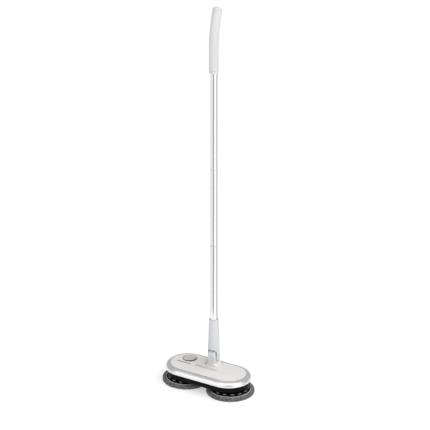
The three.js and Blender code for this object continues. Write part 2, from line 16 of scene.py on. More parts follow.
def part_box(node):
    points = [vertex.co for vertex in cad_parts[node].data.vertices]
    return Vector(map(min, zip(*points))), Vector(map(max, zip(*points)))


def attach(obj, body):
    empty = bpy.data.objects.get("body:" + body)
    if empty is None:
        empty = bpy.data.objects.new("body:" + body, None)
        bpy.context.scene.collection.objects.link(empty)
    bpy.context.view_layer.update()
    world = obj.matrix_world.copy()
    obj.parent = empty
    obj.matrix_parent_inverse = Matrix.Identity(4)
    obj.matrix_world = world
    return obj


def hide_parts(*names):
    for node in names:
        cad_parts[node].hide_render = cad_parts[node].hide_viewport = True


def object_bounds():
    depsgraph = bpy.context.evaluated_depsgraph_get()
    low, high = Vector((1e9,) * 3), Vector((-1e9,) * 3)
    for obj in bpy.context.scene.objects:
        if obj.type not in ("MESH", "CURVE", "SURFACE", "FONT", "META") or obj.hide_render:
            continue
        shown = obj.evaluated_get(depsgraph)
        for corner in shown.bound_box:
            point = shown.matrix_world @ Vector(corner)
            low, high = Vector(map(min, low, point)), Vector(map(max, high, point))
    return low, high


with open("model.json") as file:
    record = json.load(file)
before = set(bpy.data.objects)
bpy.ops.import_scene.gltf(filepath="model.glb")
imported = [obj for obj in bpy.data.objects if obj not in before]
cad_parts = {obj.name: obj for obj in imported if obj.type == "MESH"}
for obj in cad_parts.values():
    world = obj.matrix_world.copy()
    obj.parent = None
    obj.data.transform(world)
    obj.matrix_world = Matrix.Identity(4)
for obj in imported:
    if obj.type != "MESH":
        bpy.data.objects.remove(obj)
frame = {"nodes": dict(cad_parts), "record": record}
cad_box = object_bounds()
MM = 0.001
TURN = 2 * math.pi

# %% [markdown]
# Every place comes from the design's own boxes. The head is a stadium, two half circles joined by straight
# sides, so one number for its half length and one for its radius describe each shell.


# %% Places from the frame
def box_mm(node):
    """Lowest and highest corner of a design node, in millimetres."""
    low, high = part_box(node)
    return np.array(low) / MM, np.array(high) / MM


def middle(node):
    """Centre of a design node's box, in millimetres."""
    low, high = box_mm(node)
    return (low + high) / 2


def stadium_of(node):
    """(half length of the spine, radius) of a stadium-shaped node."""
    low, high = box_mm(node)
    radius = (high[1] - low[1]) / 2
    return (high[0] - low[0]) / 2 - radius, radius


SPINE, COVER_RADIUS = stadium_of("top_cover")
COVER_TOP = box_mm("top_cover")[1][2]
COVER_BOTTOM = 42.4
PANEL_RADIUS = stadium_of("top_panel")[1]
PANEL_Z = (box_mm("top_panel")[0][2], box_mm("top_panel")[1][2])
CHASSIS_RADIUS = stadium_of("chassis")[1]
CHASSIS_BOTTOM = box_mm("chassis")[0][2]
DISC_X = middle("mop_pad_right")[0]
PAD_RADIUS = (box_mm("mop_pad_right")[1][0] - box_mm("mop_pad_right")[0][0]) / 2
PAD_HEIGHT = box_mm("mop_pad_right")[1][2]
TUBE_Y = middle("tube_middle")[1]
TUBE_RADIUS = (box_mm("tube_middle")[1][0] - box_mm("tube_middle")[0][0]) / 2
SWIVEL_Z = middle("swivel_shaft")[2]
PIN_Z = middle("pivot_pin")[2]
print("spine", SPINE, "cover radius", COVER_RADIUS, "disc x", DISC_X)

# %% [markdown]
# A surface here is a grid of points: rows along one parameter, columns along the other. Four neighbouring
# points make a face, and a direction that closes on itself wraps round. Points that fall together, such as
# those at a pole, are merged, and then the faces are turned outwards.


# %% Grids to meshes
def grid_faces(rows, columns, wrap_rows=True, wrap_columns=True):
    """Four-cornered faces between the points of a grid that is stored row by row."""
    r = np.arange(rows if wrap_rows else rows - 1)[:, None]
    c = np.arange(columns if wrap_columns else columns - 1)[None, :]
    after_r, after_c = (r + 1) % rows, (c + 1) % columns
    corners = (r * columns + c, r * columns + after_c, after_r * columns + after_c, after_r * columns + c)
    return np.stack(corners, axis=-1).reshape(-1, 4)


def linked(name, data):
    """A new object with the given data, linked into the scene."""
    made = bpy.data.objects.new(name, data)
    bpy.context.scene.collection.objects.link(made)
    return made


def mesh_object(name, points, faces):
    """An object from points in millimetres and an array of four-cornered faces."""
    mesh = bpy.data.meshes.new(name)
    mesh.vertices.add(len(points))
    mesh.vertices.foreach_set("co", (np.asarray(points) * MM).astype(np.float32).ravel())
    mesh.loops.add(faces.size)
    mesh.loops.foreach_set("vertex_index", faces.astype(np.int32).ravel())
    mesh.polygons.add(len(faces))
    mesh.polygons.foreach_set("loop_start", np.arange(0, faces.size, 4, dtype=np.int32))
    mesh.update(calc_edges=True)
    mesh.validate()
    return linked(name, mesh)


def tidy_mesh(piece, sharp_degrees=32):
    """Merges points that coincide, turns faces outwards, and keeps edges sharper than the angle crisp."""
    work = bmesh.new()
    work.from_mesh(piece.data)
    bmesh.ops.remove_doubles(work, verts=work.verts, dist=1e-6)
    bmesh.ops.dissolve_degenerate(work, dist=1e-7, edges=work.edges)
    bmesh.ops.recalc_face_normals(work, faces=work.faces)
    if work.calc_volume(signed=True) < 0:
        bmesh.ops.reverse_faces(work, faces=work.faces)
    limit = math.radians(sharp_degrees)
    for edge in work.edges:
        edge.smooth = edge.calc_face_angle(0) < limit
    for face in work.faces:
        face.smooth = True
    work.to_mesh(piece.data)
    work.free()
    return piece


# %% [markdown]
# Real moulded and turned pieces have no perfectly sharp edge, and it is the small rounds that catch the
# light. A profile is written as a few corners, each with the radius of its round, and a helper draws the
# rounds.


# %% Rounded profiles
def rounded(corners, steps=5):
    """A closed profile from corners (a, b, round): each corner becomes a short curve between the points
    that lie round away from it along both sides, following (1-t)^2 start + 2t(1-t) corner + t^2 end."""
    spots = np.array([c[:2] for c in corners], float)
    rounds = np.array([c[2] if len(c) > 2 else 0 for c in corners], float)
    back = np.roll(spots, 1, axis=0) - spots
    ahead = np.roll(spots, -1, axis=0) - spots
    back_length = np.linalg.norm(back, axis=1)
    ahead_length = np.linalg.norm(ahead, axis=1)
    reach = np.minimum(rounds, 0.48 * np.minimum(back_length, ahead_length))
    start = spots + back * (reach / back_length)[:, None]
    end = spots + ahead * (reach / ahead_length)[:, None]
    t = np.linspace(0, 1, steps + 1)[None, :, None]
    curve = (1 - t) ** 2 * start[:, None] + 2 * t * (1 - t) * spots[:, None] + t**2 * end[:, None]
    kept = [curve[i] if reach[i] > 0 else spots[i : i + 1] for i in range(len(spots))]
    return np.concatenate(kept)


def turned(name, corners, centre, segments=128, axis="z"):
    """A profile of (radius, distance along the axis, round) corners turned about an axis through centre."""
    radius, along = rounded(corners).T
    angle = np.linspace(0, TURN, segments, endpoint=False)[:, None]
    across, up = radius * np.cos(angle), radius * np.sin(angle)
    along = np.broadcast_to(along, across.shape)
    if axis == "z":
        points = np.stack([centre[0] + across, centre[1] + up, along], axis=-1)
    else:
        points = np.stack([along, centre[0] + across, centre[1] + up], axis=-1)
    faces = grid_faces(segments, len(radius))
    return tidy_mesh(mesh_object(name, points.reshape(-1, 3), faces))


def stadium_ring(name, profile, arc=64, straight=24):
    """A profile of (distance from the spine, height) points carried round a stadium: feet on the spine, and a
    direction that turns through each end's half circle and stays square to the straight sides."""
    half = np.linspace(-math.pi / 2, math.pi / 2, arc)
    run = np.linspace(1, -1, straight + 2)[1:-1]
    foot_x = np.concatenate([np.ones(arc), run, -np.ones(arc), -run]) * SPINE
    side = np.ones(straight) * math.pi / 2
    angle = np.concatenate([half, side, half + math.pi, -side])
    reach, height = np.asarray(profile).T
    x = foot_x[:, None] + np.cos(angle)[:, None] * reach
    y = np.sin(angle)[:, None] * reach
    points = np.stack([x, y, np.broadcast_to(height, x.shape)], axis=-1)
    faces = grid_faces(len(angle), len(reach))
    return tidy_mesh(mesh_object(name, points.reshape(-1, 3), faces))


def shoulder(radius, width, low, high, steps=20):
    """A quarter ellipse from the wall (radius, low) up and in to (radius - width, high)."""
    t = np.linspace(0, math.pi / 2, steps)
    return np.stack([radius - width * (1 - np.cos(t)), low + (high - low) * np.sin(t)], axis=1)


# %% [markdown]
# Plates with holes are flat curves: the outline and each hole are closed lines, the curve is filled between
# them, given a thickness, and its bevel rounds every edge, the edges of the holes included.


# %% Plates with holes
def circle_line(centre, radius, points=96):
    """Points evenly round a circle."""
    angle = np.linspace(0, TURN, points, endpoint=False)
    return np.stack([centre[0] + radius * np.cos(angle), centre[1] + radius * np.sin(angle)], axis=1)


def stadium_line(centre, half_length, radius, points=48):
    """Points round a stadium that lies along X: two half circles, which the straight sides join."""
    half = np.linspace(-math.pi / 2, math.pi / 2, points)
    right = np.stack([half_length + radius * np.cos(half), radius * np.sin(half)], axis=1)
    return np.concatenate([right, -right]) + np.asarray(centre)[:2]


def rectangle_line(low, high, corner, points=8):
    """Points round a rectangle with rounded corners."""
    quarter = np.linspace(0, math.pi / 2, points)
    lines = []
    for x, y, first in ((1, 1, 0), (-1, 1, 1), (-1, -1, 2), (1, -1, 3)):
        turn = quarter + first * math.pi / 2
        centre_x = high[0] - corner if x > 0 else low[0] + corner
        centre_y = high[1] - corner if y > 0 else low[1] + corner
        lines.append(np.stack([centre_x + corner * np.cos(turn), centre_y + corner * np.sin(turn)], axis=1))
    return np.concatenate(lines)


def plate(name, outline, holes, bottom, top, edge):
    """A plate between two heights, with its edges rounded by edge."""
    curve = bpy.data.curves.new(name, "CURVE")
    curve.dimensions = "2D"
    curve.fill_mode = "BOTH"
    curve.bevel_depth = edge * MM
    curve.bevel_resolution = 4
    curve.offset = -edge * MM
    curve.extrude = ((top - bottom) / 2 - edge) * MM
    for line in [outline, *holes]:
        spline = curve.splines.new("POLY")
        spline.points.add(len(line) - 1)
        padded = np.concatenate([line * MM, np.zeros((len(line), 1)), np.ones((len(line), 1))], axis=1)
        spline.points.foreach_set("co", padded.astype(np.float32).ravel())
        spline.use_cyclic_u = True
    drawn = linked(name + "_curve", curve)
    graph = bpy.context.evaluated_depsgraph_get()
    mesh = bpy.data.meshes.new_from_object(drawn.evaluated_get(graph))
    bpy.data.objects.remove(drawn)
    mesh.name = name
    mesh.transform(Matrix.Translation((0, 0, (top + bottom) / 2 * MM)))
    return tidy_mesh(linked(name, mesh))


# %% [markdown]
# ## Finishes
# Moulded plastic is never one flat colour: its skin has a fine grain, its gloss wanders, and dust and
# handling leave faint patches. Those effects are node groups, built once and used in many materials with
# their own values. A group gives only masks, colours and heights; the shader stays in each material.


# %% Node helpers
def set_inputs(tree, made, values):
    """Sets sockets of a node: another node's socket is linked, and a plain value is stored."""
    for key, value in values.items():
        if isinstance(value, bpy.types.NodeSocket):
            tree.links.new(value, made.inputs[key])
        else:
            made.inputs[key].default_value = value


def node(tree, kind, inputs=None, **settings):
    """A node with its settings, and its sockets set or linked."""
    made = tree.nodes.new(kind)
    for key, value in settings.items():
        setattr(made, key, value)
    set_inputs(tree, made, inputs or {})
    return made


def new_group(name, inputs, outputs):
    """An empty shader node group with named inputs (name: default) and outputs (name: socket type)."""
    group = bpy.data.node_groups.new(name, "ShaderNodeTree")
    for key, value in inputs.items():
        kind = "NodeSocketColor" if isinstance(value, tuple) else "NodeSocketFloat"
        group.interface.new_socket(name=key, in_out="INPUT", socket_type=kind).default_value = value
    for key, kind in outputs.items():
        group.interface.new_socket(name=key, in_out="OUTPUT", socket_type=kind)
    return group, group.nodes.new("NodeGroupInput"), group.nodes.new("NodeGroupOutput")


def math_node(tree, operation, first, second=0.0, clamp=False):
    """The result of one sum on two values or sockets."""
    values = {0: first, 1: second}
    return node(tree, "ShaderNodeMath", values, operation=operation, use_clamp=clamp).outputs[0]


def noise(tree, vector, scale, detail=3.0, roughness=0.5):
    """The value of a noise texture, from 0 to 1."""
    values = {"Vector": vector, "Scale": scale, "Detail": detail, "Roughness": roughness}
    return node(tree, "ShaderNodeTexNoise", values).outputs[0]


def map_range(tree, value, low, high, new_low, new_high):
    """A value moved from one range to another and held inside it."""
    values = {0: value, 1: low, 2: high, 3: new_low, 4: new_high}
    return node(tree, "ShaderNodeMapRange", values).outputs[0]


def mix_colour(tree, share, first, second, blend="MIX"):
    """Two colours mixed by a share."""
    values = {0: share, 6: first, 7: second}
    return node(tree, "ShaderNodeMix", values, data_type="RGBA", blend_type=blend).outputs[2]


# %% Effects that several finishes share
def swing(tree, value, amount):
    """A noise value from 0 to 1 turned into a change of up to plus or minus the amount."""
    part = math_node(tree, "MULTIPLY", math_node(tree, "SUBTRACT", value, 0.5), amount)
    return math_node(tree, "MULTIPLY", part, 2.0)


def build_moulded_skin():
    """Grain of a moulded surface: slow tone changes, a wandering gloss, and a fine height for the bump."""
    inputs = {
        "Color": (0.8, 0.8, 0.8, 1.0),
        "Grain": 2500.0,
        "Tone": 0.04,
        "Gloss": 0.3,
        "Gloss spread": 0.06,
    }
    outputs = {"Color": "NodeSocketColor", "Roughness": "NodeSocketFloat", "Height": "NodeSocketFloat"}
    group, given, out = new_group("moulded_skin", inputs, outputs)
    place = node(group, "ShaderNodeTexCoord").outputs["Object"]
    slow = noise(group, place, 22.0, 4.0)
    fine = noise(group, place, given.outputs["Grain"], 2.0)
    light = math_node(group, "ADD", 1.0, swing(group, slow, given.outputs["Tone"]))
    grey = node(group, "ShaderNodeCombineColor", {0: light, 1: light, 2: light}).outputs[0]
    coloured = mix_colour(group, 1.0, given.outputs["Color"], grey, "MULTIPLY")
    smudge = noise(group, place, 60.0, 5.0, 0.65)
    spread = swing(group, smudge, given.outputs["Gloss spread"])
    rough = math_node(group, "ADD", given.outputs["Gloss"], spread, clamp=True)
    set_inputs(group, out, {"Color": coloured, "Roughness": rough, "Height": fine})
    return group


def build_dust():
    """Dust that lies on faces that look up: a mask from the surface's upward share and a patchy noise."""
    group, given, out = new_group("dust", {"Amount": 0.1, "Scale": 40.0}, {"Mask": "NodeSocketFloat"})
    place = node(group, "ShaderNodeTexCoord").outputs["Object"]
    facing = node(group, "ShaderNodeNewGeometry").outputs["Normal"]
    up = node(group, "ShaderNodeSeparateXYZ", {0: facing}).outputs[2]
    patches = map_range(group, noise(group, place, given.outputs["Scale"], 6.0, 0.7), 0.42, 0.75, 0.0, 1.0)
    lying = map_range(group, up, 0.3, 1.0, 0.0, 1.0)
    mask = math_node(group, "MULTIPLY", math_node(group, "MULTIPLY", patches, lying), given.outputs["Amount"])
    group.links.new(mask, out.inputs["Mask"])
    return group


def build_fine_lines():
    """Hair lines along Z, as drawing and polishing leave on a tube: noise stretched along its length."""
    outputs = {"Lines": "NodeSocketFloat", "Height": "NodeSocketFloat"}
    group, given, out = new_group("fine_lines", {"Density": 1500.0, "Stretch": 0.01}, outputs)
    place = node(group, "ShaderNodeTexCoord").outputs["Object"]
    parts = node(group, "ShaderNodeSeparateXYZ", {0: place})
    along = math_node(group, "MULTIPLY", parts.outputs[2], given.outputs["Stretch"])
    values = {0: parts.outputs[0], 1: parts.outputs[1], 2: along}
    squeezed = node(group, "ShaderNodeCombineXYZ", values).outputs[0]
    lines = noise(group, squeezed, given.outputs["Density"], 3.0, 0.6)
    set_inputs(group, out, {"Lines": map_range(group, lines, 0.3, 0.7, 0.0, 1.0), "Height": lines})
    return group


SKIN, DUST, LINES = build_moulded_skin(), build_dust(), build_fine_lines()


# %% Making a finish
def new_material(name):
    """An empty material: its node tree and its shader."""
    material = bpy.data.materials.new(name)
    material.use_nodes = True
    tree = material.node_tree
    shader = tree.nodes["Principled BSDF"]
    return material, tree, shader


def placed_group(tree, group, **values):
    """A node group in a material, with its own values. Underscores in the names stand for spaces."""
    made = node(tree, "ShaderNodeGroup", node_tree=group)
    for key, value in values.items():
        made.inputs[key.replace("_", " ")].default_value = value
    return made


def bump(tree, height, strength, distance):
    """A normal from a height."""
    values = {"Height": height, "Strength": strength, "Distance": distance}
    return node(tree, "ShaderNodeBump", values).outputs["Normal"]


def rgba(red, green, blue):
    """A colour with full alpha."""
    return (red, green, blue, 1.0)


def shaded(colour, share):
    """A colour made darker."""
    return rgba(*(channel * share for channel in colour[:3]))


DUST_COLOUR = rgba(0.55, 0.53, 0.5)
PANEL_GREY = rgba(0.63, 0.612, 0.60)
PALE_GREY = rgba(0.53, 0.537, 0.56)


def moulded(
    name, colour, gloss, grain=2500.0, tone=0.03, dust=0.06, depth=0.00002, coat=0.0, shine=0.5, ior=1.5
):
    """Moulded plastic: grain, wandering gloss and a little dust, with an optional clear coat."""
    material, tree, shader = new_material(name)
    values = {"Color": colour, "Grain": grain, "Tone": tone, "Gloss": gloss, "Gloss_spread": gloss * 0.25}
    skin = placed_group(tree, SKIN, **values)
    lying = placed_group(tree, DUST, Amount=dust, Scale=45.0)
    mask = lying.outputs["Mask"]
    values = {
        "Base Color": mix_colour(tree, mask, skin.outputs["Color"], DUST_COLOUR),
        "Roughness": math_node(tree, "ADD", skin.outputs["Roughness"], mask, clamp=True),
        "Normal": bump(tree, skin.outputs["Height"], 0.25, depth),
        "Specular IOR Level": shine,
        "IOR": ior,
        "Coat Weight": coat,
        "Coat Roughness": 0.06,
    }
    set_inputs(tree, shader, values)
    return material


def polished(name, colour, gloss, density=1500.0):
    """Bare metal with hair lines along its length that catch the light and roughen it slightly."""
    material, tree, shader = new_material(name)
    drawn = placed_group(tree, LINES, Density=density, Stretch=0.012)
    lines = drawn.outputs["Lines"]
    values = {
        "Base Color": mix_colour(tree, lines, colour, shaded(colour, 0.9)),
        "Roughness": map_range(tree, lines, 0.0, 1.0, gloss * 0.75, gloss * 1.3),
        "Normal": bump(tree, drawn.outputs["Height"], 0.1, 0.00001),
        "Metallic": 1.0,
    }
    set_inputs(tree, shader, values)
    return material


def silver_lacquer(name):
    """Silver paint under clear coat: tiny flakes turn each their own way, so the tone sparkles very
    finely."""
    material, tree, shader = new_material(name)
    place = node(tree, "ShaderNodeTexCoord").outputs["Object"]
    cells = node(tree, "ShaderNodeTexVoronoi", {"Vector": place, "Scale": 3500.0})
    flake = node(tree, "ShaderNodeSeparateColor", {0: cells.outputs["Color"]}).outputs[0]
    skin = placed_group(tree, SKIN, Color=rgba(0.79, 0.79, 0.795), Grain=900.0, Tone=0.01, Gloss=0.26)
    bright = mix_colour(tree, flake, skin.outputs["Color"], rgba(0.75, 0.75, 0.76))
    lying = placed_group(tree, DUST, Amount=0.03, Scale=35.0)
    values = {
        "Base Color": mix_colour(tree, lying.outputs["Mask"], bright, DUST_COLOUR),
        "Roughness": skin.outputs["Roughness"],
        "Normal": bump(tree, flake, 0.015, 0.00001),
        "Metallic": 0.85,
        "Coat Weight": 0.3,
        "Coat Roughness": 0.12,
    }
    set_inputs(tree, shader, values)
    return material


def pile(name):
    """Grey microfibre: dark at the root, where painted shade stands for the shade down among the fibres, and
    paler at the tips, with each tuft a little different.
    """
    material, tree, shader = new_material(name)
    tone = node(tree, "ShaderNodeAttribute", attribute_name="tuft_tone").outputs["Fac"]
    along = node(tree, "ShaderNodeAttribute", attribute_name="tuft_along").outputs["Fac"]
    place = node(tree, "ShaderNodeTexCoord").outputs["Object"]
    fibres = noise(tree, place, 1400.0, 3.0, 0.7)
    clumps = map_range(tree, noise(tree, place, 260.0, 2.0), 0.4, 0.6, 0.0, 1.0)
    # Painted shade: each tuft darkens towards its root, as if the pile around it shaded it.
    shaded_root_to_tip = mix_colour(tree, along, rgba(0.035, 0.036, 0.039), rgba(0.2, 0.203, 0.21))
    varied = mix_colour(tree, tone, shaded_root_to_tip, rgba(0.55, 0.555, 0.57))
    clumped = mix_colour(tree, clumps, varied, rgba(0.055, 0.056, 0.06))
    specks = map_range(tree, fibres, 0.35, 0.7, 0.0, 0.45)
    values = {
        "Base Color": mix_colour(tree, specks, clumped, rgba(0.06, 0.06, 0.065)),
        "Roughness": map_range(tree, fibres, 0.2, 0.8, 0.8, 1.0),
        "Normal": bump(tree, fibres, 0.6, 0.0003),
        "Sheen Weight": 0.6,
        "Sheen Roughness": 0.4,
        "Sheen Tint": rgba(0.7, 0.72, 0.76),
    }
    set_inputs(tree, shader, values)
    return material


def woven_tape(name, colour, pitch=900.0):
    """Narrow woven tape: fine crossing threads from two wave textures."""
    material, tree, shader = new_material(name)
    place = node(tree, "ShaderNodeTexCoord").outputs["Object"]
    threads = [
        node(tree, "ShaderNodeTexWave", {"Vector": place, "Scale": pitch}, bands_direction=way).outputs["Fac"]
        for way in ("X", "Y")
    ]
    weave = math_node(tree, "MULTIPLY", threads[0], threads[1])
    values = {
        "Base Color": mix_colour(tree, weave, shaded(colour, 0.6), colour),
        "Roughness": map_range(tree, weave, 0.0, 1.0, 0.95, 0.75),
        "Normal": bump(tree, weave, 0.5, 0.0002),
    }
    set_inputs(tree, shader, values)
    return material


FINISH = {
    "silver_shell": silver_lacquer("silver_lacquer"),
    "grey_panel": moulded("grey_panel_plastic", PANEL_GREY, 0.5, dust=0.04, shine=0.35),
    "white_plastic": moulded("pale_grey_plastic", PALE_GREY, 0.42, tone=0.02),
    "smoke_lens": moulded("smoke_lens_plastic", rgba(0.47, 0.465, 0.46), 0.4, dust=0.0, shine=0.2),
    "black_plastic": moulded("black_plastic", rgba(0.003, 0.003, 0.0034), 0.35, dust=0.005, shine=0.06),
    "black_rubber": moulded("black_rubber", rgba(0.015, 0.015, 0.016), 0.75, grain=900.0, depth=0.0001),
    "nylon": moulded("natural_nylon", rgba(0.78, 0.76, 0.68), 0.45, dust=0.0),
    "green_board": moulded("solder_mask", rgba(0.012, 0.12, 0.05), 0.3, grain=400.0, dust=0.0),
    "cell_sleeve": moulded("shrink_sleeve", rgba(0.03, 0.16, 0.4), 0.3, grain=700.0, dust=0.0, coat=0.4),
    "tube_aluminium": polished("polished_aluminium", rgba(0.90, 0.91, 0.93), 0.13),
    "chrome_trim": polished("bright_chrome", rgba(0.80, 0.81, 0.83), 0.08, 700.0),
    "steel": polished("plain_steel", rgba(0.45, 0.45, 0.47), 0.35, 900.0),
    "brass": polished("turned_brass", rgba(0.62, 0.45, 0.19), 0.3, 900.0),
    "microfibre": pile("microfibre_pile"),
    "hook_tape": woven_tape("hook_tape", rgba(0.03, 0.03, 0.034)),
}


def painted_low(material, kind, output, low, high, colour):
    """Another colour where the Z part of a node's output is low. Between low and high it passes into the
    material's own."""
    tree = material.node_tree
    shader = tree.nodes["Principled BSDF"]
    own = shader.inputs["Base Color"].links[0].from_socket
    up = node(tree, "ShaderNodeSeparateXYZ", {0: node(tree, kind).outputs[output]}).outputs[2]
    share = map_range(tree, up, low, high, 1.0, 0.0)
    tree.links.new(mix_colour(tree, share, own, colour), shader.inputs["Base Color"])
    return material


# The button's walls, found by their flat-lying normals, carry painted shade: they are darker than its top,
# like a raised button's side wall in shadow.
button_plastic = moulded("button_plastic", rgba(0.45, 0.445, 0.45), 0.4, grain=1800.0)
PAINTED_WALL_SHADE = rgba(0.07, 0.07, 0.075)
FINISH["grey_button"] = painted_low(button_plastic, "ShaderNodeNewGeometry", "Normal", 0.2, 0.75, PAINTED_WALL_SHADE)
BINDING = woven_tape("edge_binding", rgba(0.66, 0.665, 0.68), 1300.0)
GLOSS_BLACK = moulded("gloss_black_plastic", rgba(0.01, 0.01, 0.011), 0.26, dust=0.0, coat=0.6, ior=2.0)
GRIP_GREY = rgba(0.56, 0.562, 0.572)
GRIP_PLASTIC = moulded("grip_plastic", GRIP_GREY, 0.55, grain=1500.0, depth=0.00006, shine=0.12)
STRIP_LENS = moulded("strip_lens_plastic", rgba(0.17, 0.168, 0.17), 0.4, dust=0.0, shine=0.2)
# The knuckle is the neck's pale plastic, which passes into the panel's warmer grey on the barrel at its foot.
KNUCKLE_PLASTIC = moulded("knuckle_plastic", PALE_GREY, 0.42, tone=0.02)
painted_low(KNUCKLE_PLASTIC, "ShaderNodeTexCoord", "Object", 0.062, 0.072, PANEL_GREY)


def place_piece(piece, body, slot_name, *nodes, material=None):
    """Gives a piece the finish of its slot, or the material given, makes it ride on its body, and hides the
    design nodes that it stands for.
    """
    piece.data.materials.clear()
    piece.data.materials.append(material or FINISH[slot_name])
    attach(piece, body)
    if nodes:
        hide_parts(*nodes)
    return piece


# %% [markdown]
# The design's own nodes that stay, such as motors, gears and screws, already have the right shape. They
# only need their finish, which the record names for each of them.

# %% Finishes for the design's nodes
for row in frame["record"]["subparts"]:
    part = frame["nodes"][row["node"]]
    part.data.materials.clear()
    part.data.materials.append(FINISH[row["material_slot"]])

# %% [markdown]
# ## The head's shells
# The silver cover is one profile carried round the stadium: a rounded lip, an elliptical shoulder, and a
# shallow step that holds the panel. Its inside follows 2.4 mm behind. A dark line shows where the panel is
# let in.

# %% Top cover
WALL = 2.4
SHOULDER_WIDTH, SHOULDER_HEIGHT = 12.0, 15.0
shoulder_foot = COVER_TOP - SHOULDER_HEIGHT
lip = rounded(
    [
        (COVER_RADIUS - WALL, COVER_BOTTOM, 0.5),
        (COVER_RADIUS - 0.2, COVER_BOTTOM, 0.7),
        (COVER_RADIUS, shoulder_foot - 0.1, 0),
        (COVER_RADIUS - WALL, shoulder_foot - 0.1, 0),
    ]
)[:-1]
outer = shoulder(COVER_RADIUS, SHOULDER_WIDTH, shoulder_foot, COVER_TOP)
step_radius = PANEL_RADIUS + 0.35
ledge_top = PANEL_Z[0] - 0.3
step = np.array(
    [
        (step_radius, COVER_TOP - 0.1),
        (step_radius - 0.05, COVER_TOP - 0.5),
        (step_radius - 0.05, ledge_top),
        (49.0, ledge_top),
        (49.0, ledge_top - 1.7),
    ]
)
inner = shoulder(COVER_RADIUS - WALL, SHOULDER_WIDTH - 1.2, shoulder_foot, COVER_TOP - 4.6)[::-1]
cover_profile = np.concatenate([lip, outer, step, inner])
place_piece(stadium_ring("cover_shell", cover_profile), "head", "silver_shell", "top_cover")

# %% [markdown]
# The panel is a plate with four openings: the knuckle's slot, the button's hole, and the seats of the two
# lenses.

# %% Top panel, lenses and button
button_at = middle("foot_button")
button_radius = (box_mm("foot_button")[1][0] - box_mm("foot_button")[0][0]) / 2 - 2.0
button_top = box_mm("foot_button")[1][2]
lenses = {}
for lens in ("indicator_strip", "status_window"):
    low, high = box_mm(lens)
    radius = (high[1] - low[1]) / 2
    lenses[lens] = (middle(lens), (high[0] - low[0]) / 2 - radius, radius, high[2])
knuckle_low, knuckle_high = box_mm("knuckle")
slot_half = knuckle_high[0] - 1.2
slot_line = rectangle_line((-slot_half, knuckle_low[1] - 0.8), (slot_half, knuckle_high[1] + 0.8), 2.0)
holes = [circle_line(button_at, button_radius + 1.3), slot_line]
seat_gap = {"indicator_strip": 0.9, "status_window": 0.3}
for lens, (at, half, radius, _) in lenses.items():
    holes.append(stadium_line(at, half, radius + seat_gap[lens], 24))
panel = plate("panel_plate", stadium_line((0, 0), SPINE, PANEL_RADIUS, 96), holes, *PANEL_Z, 0.6)
place_piece(panel, "head", "grey_panel", "top_panel")
for lens, (at, half, radius, top) in lenses.items():
    piece = plate(lens + "_lens", stadium_line(at, half, radius, 24), [], PANEL_Z[0] + 0.3, top, 0.35)
    finish = STRIP_LENS if lens == "indicator_strip" else None
    place_piece(piece, "head", "smoke_lens", lens, material=finish)

# %% Foot button and its ring
FLANGE_BOTTOM, FLANGE_TOP, FLANGE_WIDTH = 52.5, 54.7, 2.0
HOLLOW_RADIUS, HOLLOW_TOP = 16.5, 59.0
STEM_RADIUS, STEM_END = 3.0, 54.9
RING_FOOT = 55.8
button_profile = [
    (0, button_top - 1.5, 0),
    (button_radius * 0.55, button_top - 1.25, 3.0),
    (button_radius - 2.6, button_top - 0.1, 1.6),
    (button_radius, button_top - 1.0, 1.0),
    (button_radius, FLANGE_TOP, 0.2),
    (button_radius + FLANGE_WIDTH, FLANGE_TOP, 0.3),
    (button_radius + FLANGE_WIDTH, FLANGE_BOTTOM, 0.3),
    (HOLLOW_RADIUS, FLANGE_BOTTOM, 0.3),
    (HOLLOW_RADIUS, HOLLOW_TOP, 0.5),
    (STEM_RADIUS, HOLLOW_TOP, 0.3),
    (STEM_RADIUS, STEM_END, 0.3),
    (0, STEM_END, 0),
]
button = turned("foot_button_cap", button_profile, button_at)
# What lies above LEAN_FROM leans: it is FLUSH lower at the left edge, and rises by LEAN times the distance
# from it.
LEAN, FLUSH, LEAN_FROM = 0.1, 1.1, 57
spots = np.empty(len(button.data.vertices) * 3, np.float32)
button.data.vertices.foreach_get("co", spots)
spots = spots.reshape(-1, 3)
rise = LEAN * (spots[:, 0] - (button_at[0] - button_radius) * MM) - FLUSH * MM
spots[:, 2] += np.where(spots[:, 2] > LEAN_FROM * MM, rise, 0)
button.data.vertices.foreach_set("co", spots.ravel())
button.data.update()
place_piece(button, "foot_button", "grey_button", "foot_button")
ring_inner, ring_outer = button_radius + 0.3, button_radius + 2.7
ring_profile = [
    (ring_inner, RING_FOOT, 0),
    (ring_inner, PANEL_Z[1] + 0.3, 0.3),
    (ring_inner + 0.9, PANEL_Z[1] + 0.5, 0.4),
    (ring_outer, PANEL_Z[1] + 0.3, 0.5),
    (ring_outer - 1.3, PANEL_Z[1] + 0.3, 0),
    (ring_outer - 1.7, RING_FOOT, 0),
]
place_piece(turned("button_ring", ring_profile, button_at), "head", "chrome_trim", "button_bezel")

# %% [markdown]
# The chassis is the black shell underneath. Its profile closes on the spine, so it is a tub with a floor,
# and holes for the spindles and screws are cut through that floor with a boolean modifier that is applied
# at once.


# %% Cutting
def apply_modifiers(piece):
    """Replaces a piece's mesh with the result of its modifiers."""
    graph = bpy.context.evaluated_depsgraph_get()
    mesh = bpy.data.meshes.new_from_object(piece.evaluated_get(graph))
    piece.modifiers.clear()
    piece.data = mesh
    return piece


def combine(piece, others, operation):
    """Cuts, joins or intersects a piece with others, which are then deleted."""
    for other in others:
        modifier = piece.modifiers.new(operation.lower(), "BOOLEAN")
        modifier.object = other
        modifier.operation = operation
        modifier.solver = "EXACT"
    apply_modifiers(piece)
    for other in others:
        bpy.data.objects.remove(other)
    return piece


def drill(name, radius, low, high, centre, axis="z", segments=48):
    """A plain cylinder that only serves to cut."""
    corners = [(0, low, 0), (radius, low, 0), (radius, high, 0), (0, high, 0)]
    return turned(name, corners, centre, segments, axis)


